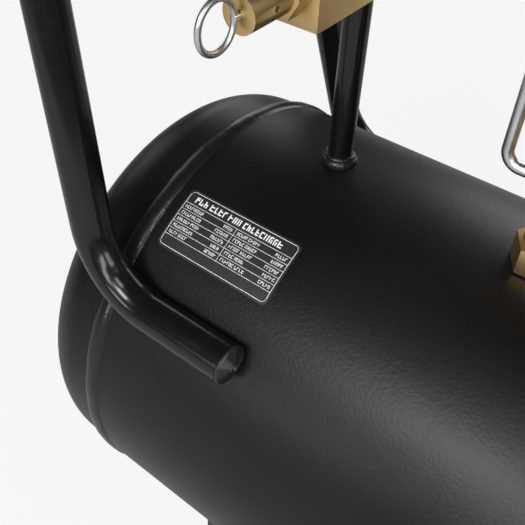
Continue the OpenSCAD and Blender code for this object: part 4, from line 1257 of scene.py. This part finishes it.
@dataclass
class Controls(SubAssembly):
    """Riser, manifold, pressure switch, gauges, regulator and coupler."""

    numbers: int = 6
    number_tall: float = 3.6 * MM
    sweep: float = 270.0
    ticks: tuple[tuple[float, ...], ...] = ((50, 0.86, 0.08, 0.25), (10, 0.82, 0.16, 0.5))
    rib: tuple[float, float, float] = (1.6 * MM, 0.9 * MM, 30 * MM)
    rib_count: int = 9
    rib_share: float = 0.62
    screw: float = 3.4 * MM
    screw_share: float = 0.7

    title = "controls"
    dressed = {
        "riser_pipe": Dress("handle_paint", HANDLE_BLACK, 0.2 * MM),
        "manifold": Dress("brass", BRASS, 0.6 * MM),
        "switch_base": Dress("grey_plastic", GREY_PLASTIC, 0.6 * MM),
        "switch_cover": Dress("black_plastic", BLACK_PLASTIC, 1.2 * MM),
        "switch_knob": Dress("red_plastic", RED_PLASTIC, 0.7 * MM),
        "cable_glands": Dress("black_plastic", BLACK_PLASTIC, 0.4 * MM),
        "safety_valve": Dress("brass", BRASS, 0.4 * MM),
        "safety_ring": Dress("plated_steel", ZINC, 0.0),
        "gauge_cases": Dress("black_plastic", BLACK_PLASTIC, 0.8 * MM),
        "gauge_dials": Dress("dial_white", DIAL_FACE, 0.0),
        "gauge_glasses": Dress("clear", WINDOW, 0.1 * MM),
        "tank_needle": Dress("red_plastic", RED_PLASTIC, 0.0),
        "outlet_needle": Dress("red_plastic", RED_PLASTIC, 0.0),
        "regulator": Dress("cast_aluminium", CAST_ALLOY, 0.7 * MM),
        "regulator_knob": Dress("black_plastic", BLACK_PLASTIC, 0.6 * MM),
        "coupler": Dress("plated_steel", ZINC, 0.4 * MM),
        "coupler_sleeve": Dress("plated_steel", STEEL, 0.3 * MM),
        "unloader_tube": Dress("tube_aluminium", ALLOY_PIPE, 0.0),
        "check_valve": Dress("brass", BRASS, 0.4 * MM),
    }

    def build(self) -> None:
        """Makes the dials' print, the cover's ribs and the screws."""
        self.add("gauge_print", joined("dial print", self.dial_print()), Dress("black_plastic", DIAL_INK))
        low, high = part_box("switch_cover")
        middle = (low + high) / 2
        rib = block("rib", self.rib, Matrix.Identity(4), 0.4 * MM)
        sizes = {"Columns": self.rib_count, "Rows": 2, "Width": (high.x - low.x) * self.rib_share,
                 "Depth": high.y - low.y}
        ribs = self.patterns.grid.make("cover ribs", BLACK_PLASTIC, Matrix.Translation(middle), sizes, rib)
        self.add("switch_cover_ribs", ribs, Dress("black_plastic", BLACK_PLASTIC))
        place = Matrix.Translation((middle.x, middle.y, high.z - 0.4 * MM))
        sizes = {"Columns": 2, "Rows": 1, "Width": (high.x - low.x) * self.screw_share, "Depth": 0.0}
        screws = self.patterns.grid.make("cover screws", ZINC, place, sizes, screw_head(self.screw))
        self.add("switch_cover_screws", screws, Dress("plated_steel", ZINC))

    def dial_print(self) -> list[Mesh]:
        """Ticks, numbers and rings of both dials, seen from the left."""
        made = []
        low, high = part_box("gauge_dials")
        dial = (high.z - low.z) / 2
        for across in (low.y + dial, high.y - dial):
            centre = Vector((low.x, across, (low.z + high.z) / 2))
            place = Facing.LEFT.turned(centre)
            facing = Matrix(((0, 0, -1), (-1, 0, 0), (0, 1, 0))).to_4x4()
            upright = Matrix.Translation(centre) @ facing
            start = math.radians(-45)
            for count, radius, long, wide in self.ticks:
                tick = block("tick", (dial * long, wide * MM, 0.1 * MM), Matrix.Identity(4), 0.02 * MM)
                sizes = {"Count": count + 1, "Radius": dial * radius, "Start": start,
                         "Span": math.radians(self.sweep) * (count + 1) / count}
                made.append(self.patterns.ring.make("ticks", DIAL_INK, upright, sizes, tick))
            near, far, thin = dial * 0.93, dial * 0.95, 0.05 * MM
            rim = [(near, -thin), (far, -thin), (far, thin), (near, thin)]
            made.append(lathe("dial ring", rim, place, 96))
            for k in range(self.numbers):
                angle = math.radians(225 - self.sweep * k / (self.numbers - 1))
                spot = (dial * 0.6 * math.cos(angle), dial * 0.6 * math.sin(angle), 0)
                made.append(numeral(str(2 * k), self.number_tall, upright @ Matrix.Translation(spot)))
        return made


def numeral(text: str, size: float, place: Matrix) -> Mesh:
    """Makes one thin number, centred on its place."""
    curve = bpy.data.curves.new("numeral", "FONT")
    curve.body, curve.size, curve.extrude = text, size, 0.05 * MM
    curve.align_x, curve.align_y = "CENTER", "CENTER"
    host = bpy.data.objects.new("numeral", curve)
    bpy.context.scene.collection.objects.link(host)
    graph = bpy.context.evaluated_depsgraph_get()
    mesh = bpy.data.meshes.new_from_object(host.evaluated_get(graph), depsgraph=graph)
    bpy.data.objects.remove(host)
    mesh.transform(place)
    return smoothed(mesh)


def screw_head(radius: float) -> Mesh:
    """Domed screw head with a recessed socket, its seat at the origin."""
    dome = [(0.0, -0.2 * radius), (radius, -0.2 * radius), (radius, 0.15 * radius)]
    dome += [(radius * 0.93, 0.42 * radius), (radius * 0.72, 0.6 * radius), (radius * 0.46, 0.66 * radius),
             (radius * 0.43, 0.6 * radius), (radius * 0.4, 0.2 * radius), (0.0, 0.16 * radius)]
    return lathe("screw head", dome, Matrix.Identity(4), 18)


# ---- Pump ----------------------------------------------------------------


@dataclass
class Pump(SubAssembly):
    """Deck, motor, crankcases, cylinders and cooling."""

    title = "pump"
    dressed = {
        "pump_deck": Dress("frame_paint", FRAME_BLACK, 0.5 * MM),
        "isolators": Dress("black_rubber", SOFT_RUBBER, 0.8 * MM),
        "mount_bolts": Dress("plated_steel", ZINC, 0.4 * MM),
        "left_crankcase": Dress("cast_aluminium", CAST_ALLOY, 0.9 * MM),
        "right_crankcase": Dress("cast_aluminium", CAST_ALLOY, 0.9 * MM),
        "stator": Dress("bare_steel", LAMINATIONS, 0.0),
        "windings": Dress("copper", WIRE, 0.0),
        "capacitor": Dress("black_plastic", BLACK_PLASTIC, 0.8 * MM),
        "rotor": Dress("bare_steel", LAMINATIONS, 0.3 * MM),
        "shaft": Dress("bare_steel", STEEL, 0.4 * MM),
        "shaft_bearings": Dress("bare_steel", STEEL, 0.2 * MM),
        "eccentrics": Dress("bare_steel", STEEL, 0.3 * MM),
        "left_piston": Dress("turned_aluminium", TURNED_ALLOY, 0.3 * MM),
        "right_piston": Dress("turned_aluminium", TURNED_ALLOY, 0.3 * MM),
        "cylinders": Dress("turned_aluminium", TURNED_ALLOY, 0.3 * MM),
        "valve_plates": Dress("plated_steel", ZINC, 0.3 * MM),
        "cylinder_heads": Dress("cast_aluminium", CAST_ALLOY, 0.6 * MM),
        "intake_filters": Dress("black_plastic", BLACK_PLASTIC, 0.6 * MM),
        "pump_bolts": Dress("plated_steel", ZINC, 0.5 * MM),
        "cooling_fans": Dress("black_plastic", BLACK_PLASTIC, 0.0),
        "fan_guards": Dress("black_plastic", BLACK_PLASTIC, 0.4 * MM),
        "discharge_pipe": Dress("copper", COPPER_PIPE, 0.0),
    }


# ---- Wheels, feet and drain ----------------------------------------------


@dataclass
class RunningGear(SubAssembly):
    """Axle, wheels, feet and drain."""

    lugs: int = 44
    lug: tuple[float, float, float] = (2.4 * MM, 4.2 * MM, 5.6 * MM)
    lug_sink: float = 1.9 * MM
    shoulder: float = 0.31

    title = "running gear"
    dressed = {
        "axle_lugs": Dress("frame_paint", FRAME_BLACK, 0.4 * MM),
        "axle": Dress("plated_steel", ZINC, 0.4 * MM),
        "axle_caps": Dress("plated_steel", ZINC, 0.5 * MM),
        "front_tyre": Dress("tyre_rubber", TYRE_RUBBER, 0.0),
        "rear_tyre": Dress("tyre_rubber", TYRE_RUBBER, 0.0),
        "front_hub": Dress("black_plastic", GREY_PLASTIC, 0.6 * MM),
        "rear_hub": Dress("black_plastic", GREY_PLASTIC, 0.6 * MM),
        "foot_bracket": Dress("frame_paint", FRAME_BLACK, 0.5 * MM),
        "rubber_feet": Dress("black_rubber", SOFT_RUBBER, 1.2 * MM),
        "drain_valve": Dress("brass", BRASS, 0.4 * MM),
        "drain_handle": Dress("brass", BRASS, 0.5 * MM),
    }

    def build(self) -> None:
        """Makes the tread lugs on both shoulders of each tyre."""
        for side in ("front", "rear"):
            low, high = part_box(f"{side}_tyre")
            middle, radius = (low + high) / 2, (high.z - low.z) / 2
            width = high.y - low.y
            unit = block("lug", self.lug, Matrix.Identity(4), 0.5 * MM)
            meshes = []
            for place in (-self.shoulder, self.shoulder):
                sizes = {"Count": self.lugs, "Radius": radius - self.lug_sink,
                         "Start": 0.0 if place < 0 else TURN / self.lugs / 2, "Span": TURN}
                centre = (middle.x, middle.y + place * width, middle.z)
                turned = Facing.BACK.turned(centre)
                meshes.append(self.patterns.ring.make("lugs", TYRE_RUBBER, turned, sizes, unit))
            tread, dress = joined("tread", meshes), Dress("tyre_rubber", TYRE_RUBBER)
            self.add(f"{side}_tread_lugs", tread, dress, f"{side}_wheel")


# ---- Studio --------------------------------------------------------------


@dataclass(frozen=True)
class Softbox:
    """One soft light aimed at the tank."""

    name: str
    heading: float
    height: float
    size: tuple[float, float]
    brightness: float
    distance: float = 2.6

    def light(self, aim: Vector) -> None:
        """Adds the light round the point aim, heading in degrees from the back, height in degrees."""
        heading, height = math.radians(self.heading), math.radians(self.height)
        level = math.cos(height)
        way = Vector((math.sin(heading) * level, math.cos(heading) * level, math.sin(height)))
        data = bpy.data.lights.new(self.name, "AREA")
        data.shape, (data.size, data.size_y) = "RECTANGLE", self.size
        data.energy = self.brightness * math.pi * self.size[0] * self.size[1]
        lamp = bpy.data.objects.new(self.name, data)
        lamp.location = aim + way * self.distance
        lamp.rotation_euler = (-way).to_track_quat("-Z", "Y").to_euler()
        lamp.visible_camera = False
        bpy.context.scene.collection.objects.link(lamp)


@dataclass
class Studio:
    """Floor, lights and camera."""

    spot: tuple[float, float, float] = (-28.9 * MM, -242.4 * MM, 513.9 * MM)
    aim: tuple[float, float, float] = (-0.2, 0.0, 0.2)
    heading: float = 36.56
    pitch: float = 43.88
    roll: float = -2.10
    lens: float = 48.94
    sensor: float = 36.0
    floor_radius: float = 12.0
    floor_sides: int = 64
    floor_glow: float = 0.85
    boxes: tuple[Softbox, ...] = (
        Softbox("front softbox", -178, 42, (0.78, 0.6), 22.0),
        Softbox("front right strip", 150, 26, (2.4, 0.52), 9.0),
        Softbox("front low strip", -165, 12, (0.65, 0.4), 9.0),
        Softbox("right softbox", 95, 34, (1.2, 1.2), 6.0),
        Softbox("right top softbox", 148, 60, (0.65, 0.65), 8.0),
        Softbox("back card", 6, 22, (1.6, 1.3), 3.2),
        Softbox("rear left card", -40, 18, (0.9, 1.1), 1.9),
        Softbox("left softbox", -78, 26, (1.0, 1.4), 1.3),
    )

    def floor(self) -> None:
        """Adds the plain pale floor."""
        radius = self.floor_radius
        angles = [TURN * k / self.floor_sides for k in range(self.floor_sides)]
        points = [(radius * math.cos(angle), radius * math.sin(angle), 0.0) for angle in angles]
        mesh = bpy.data.meshes.new("floor")
        mesh.from_pydata(points, [], [list(range(self.floor_sides))])
        floor = bpy.data.objects.new("floor", mesh)
        bpy.context.scene.collection.objects.link(floor)
        paper = bpy.data.materials.new("pale_paper")
        paper.use_nodes = True
        wiring = Shading(paper.node_tree)
        fibres = wiring.noise(700, 2.0)
        tone = wiring.tint(fibres, (0.52, 0.52, 0.52), (0.58, 0.58, 0.58))
        sheet = wiring.node("ShaderNodeBsdfPrincipled", {"Base Color": tone, "Roughness": 0.9})
        glow = wiring.node("ShaderNodeEmission", {"Color": (1, 1, 1, 1), "Strength": 1.0})
        seen = wiring.value("ShaderNodeLightPath", None, "Is Camera Ray")
        layers = {0: seen * self.floor_glow, 1: sheet.outputs[0], 2: glow.outputs[0]}
        both = wiring.node("ShaderNodeMixShader", layers)
        wiring.node("ShaderNodeOutputMaterial", {"Surface": both.outputs[0]})
        mesh.materials.append(paper)

    def world(self) -> None:
        """Dim room light, with a white background behind everything."""
        world = bpy.data.worlds.new("room")
        world.use_nodes = True
        bpy.context.scene.world = world
        wiring = Wiring(world.node_tree)
        seen = wiring.value("ShaderNodeLightPath", None, "Is Camera Ray")
        dim = wiring.node("ShaderNodeBackground", {"Color": (0.5, 0.5, 0.52, 1), "Strength": 0.05})
        white = wiring.node("ShaderNodeBackground", {"Color": (1, 1, 1, 1), "Strength": 0.85})
        both = wiring.node("ShaderNodeMixShader", {0: seen, 1: dim.outputs[0], 2: white.outputs[0]})
        wiring.node("ShaderNodeOutputWorld", {"Surface": both.outputs[0]})

    def camera(self) -> None:
        """Adds the camera over the handle end, looking down along the tank."""
        heading, pitch, roll = (math.radians(a) for a in (self.heading, self.pitch, self.roll))
        level = math.cos(pitch)
        ahead = Vector((-math.sin(heading) * level, math.cos(heading) * level, -math.sin(pitch)))
        right = Vector((math.cos(heading), math.sin(heading), 0))
        down = -right.cross(ahead)
        side = math.cos(roll) * right + math.sin(roll) * down
        under = math.cos(roll) * down - math.sin(roll) * right
        data = bpy.data.cameras.new("camera")
        data.lens, data.sensor_width, data.clip_start = self.lens, self.sensor, 0.01
        camera = bpy.data.objects.new("camera", data)
        turn = Matrix((side, -under, -ahead)).transposed().to_4x4()
        camera.matrix_world = Matrix.Translation(self.spot) @ turn
        bpy.context.scene.collection.objects.link(camera)
        bpy.context.scene.camera = camera

    def build(self) -> None:
        """Sets up the whole studio."""
        self.floor()
        self.world()
        for box in self.boxes:
            box.light(Vector(self.aim))
        self.camera()
        bpy.context.scene.view_settings.view_transform = "Standard"


def main() -> None:
    """Builds every sub-assembly in order, then the studio."""
    logging.basicConfig(level=logging.INFO, format="%(message)s")
    patterns = Patterns(RingPattern(), GridPattern(), BeadPattern())
    barrel = Barrel.read()
    parts = (Tank(patterns, barrel), RatingLabel(patterns, barrel), Handle(patterns, barrel),
             Controls(patterns), Pump(patterns), RunningGear(patterns))
    for part in parts:
        part.run()
    Studio().build()


if __name__ == "__main__":
    main()
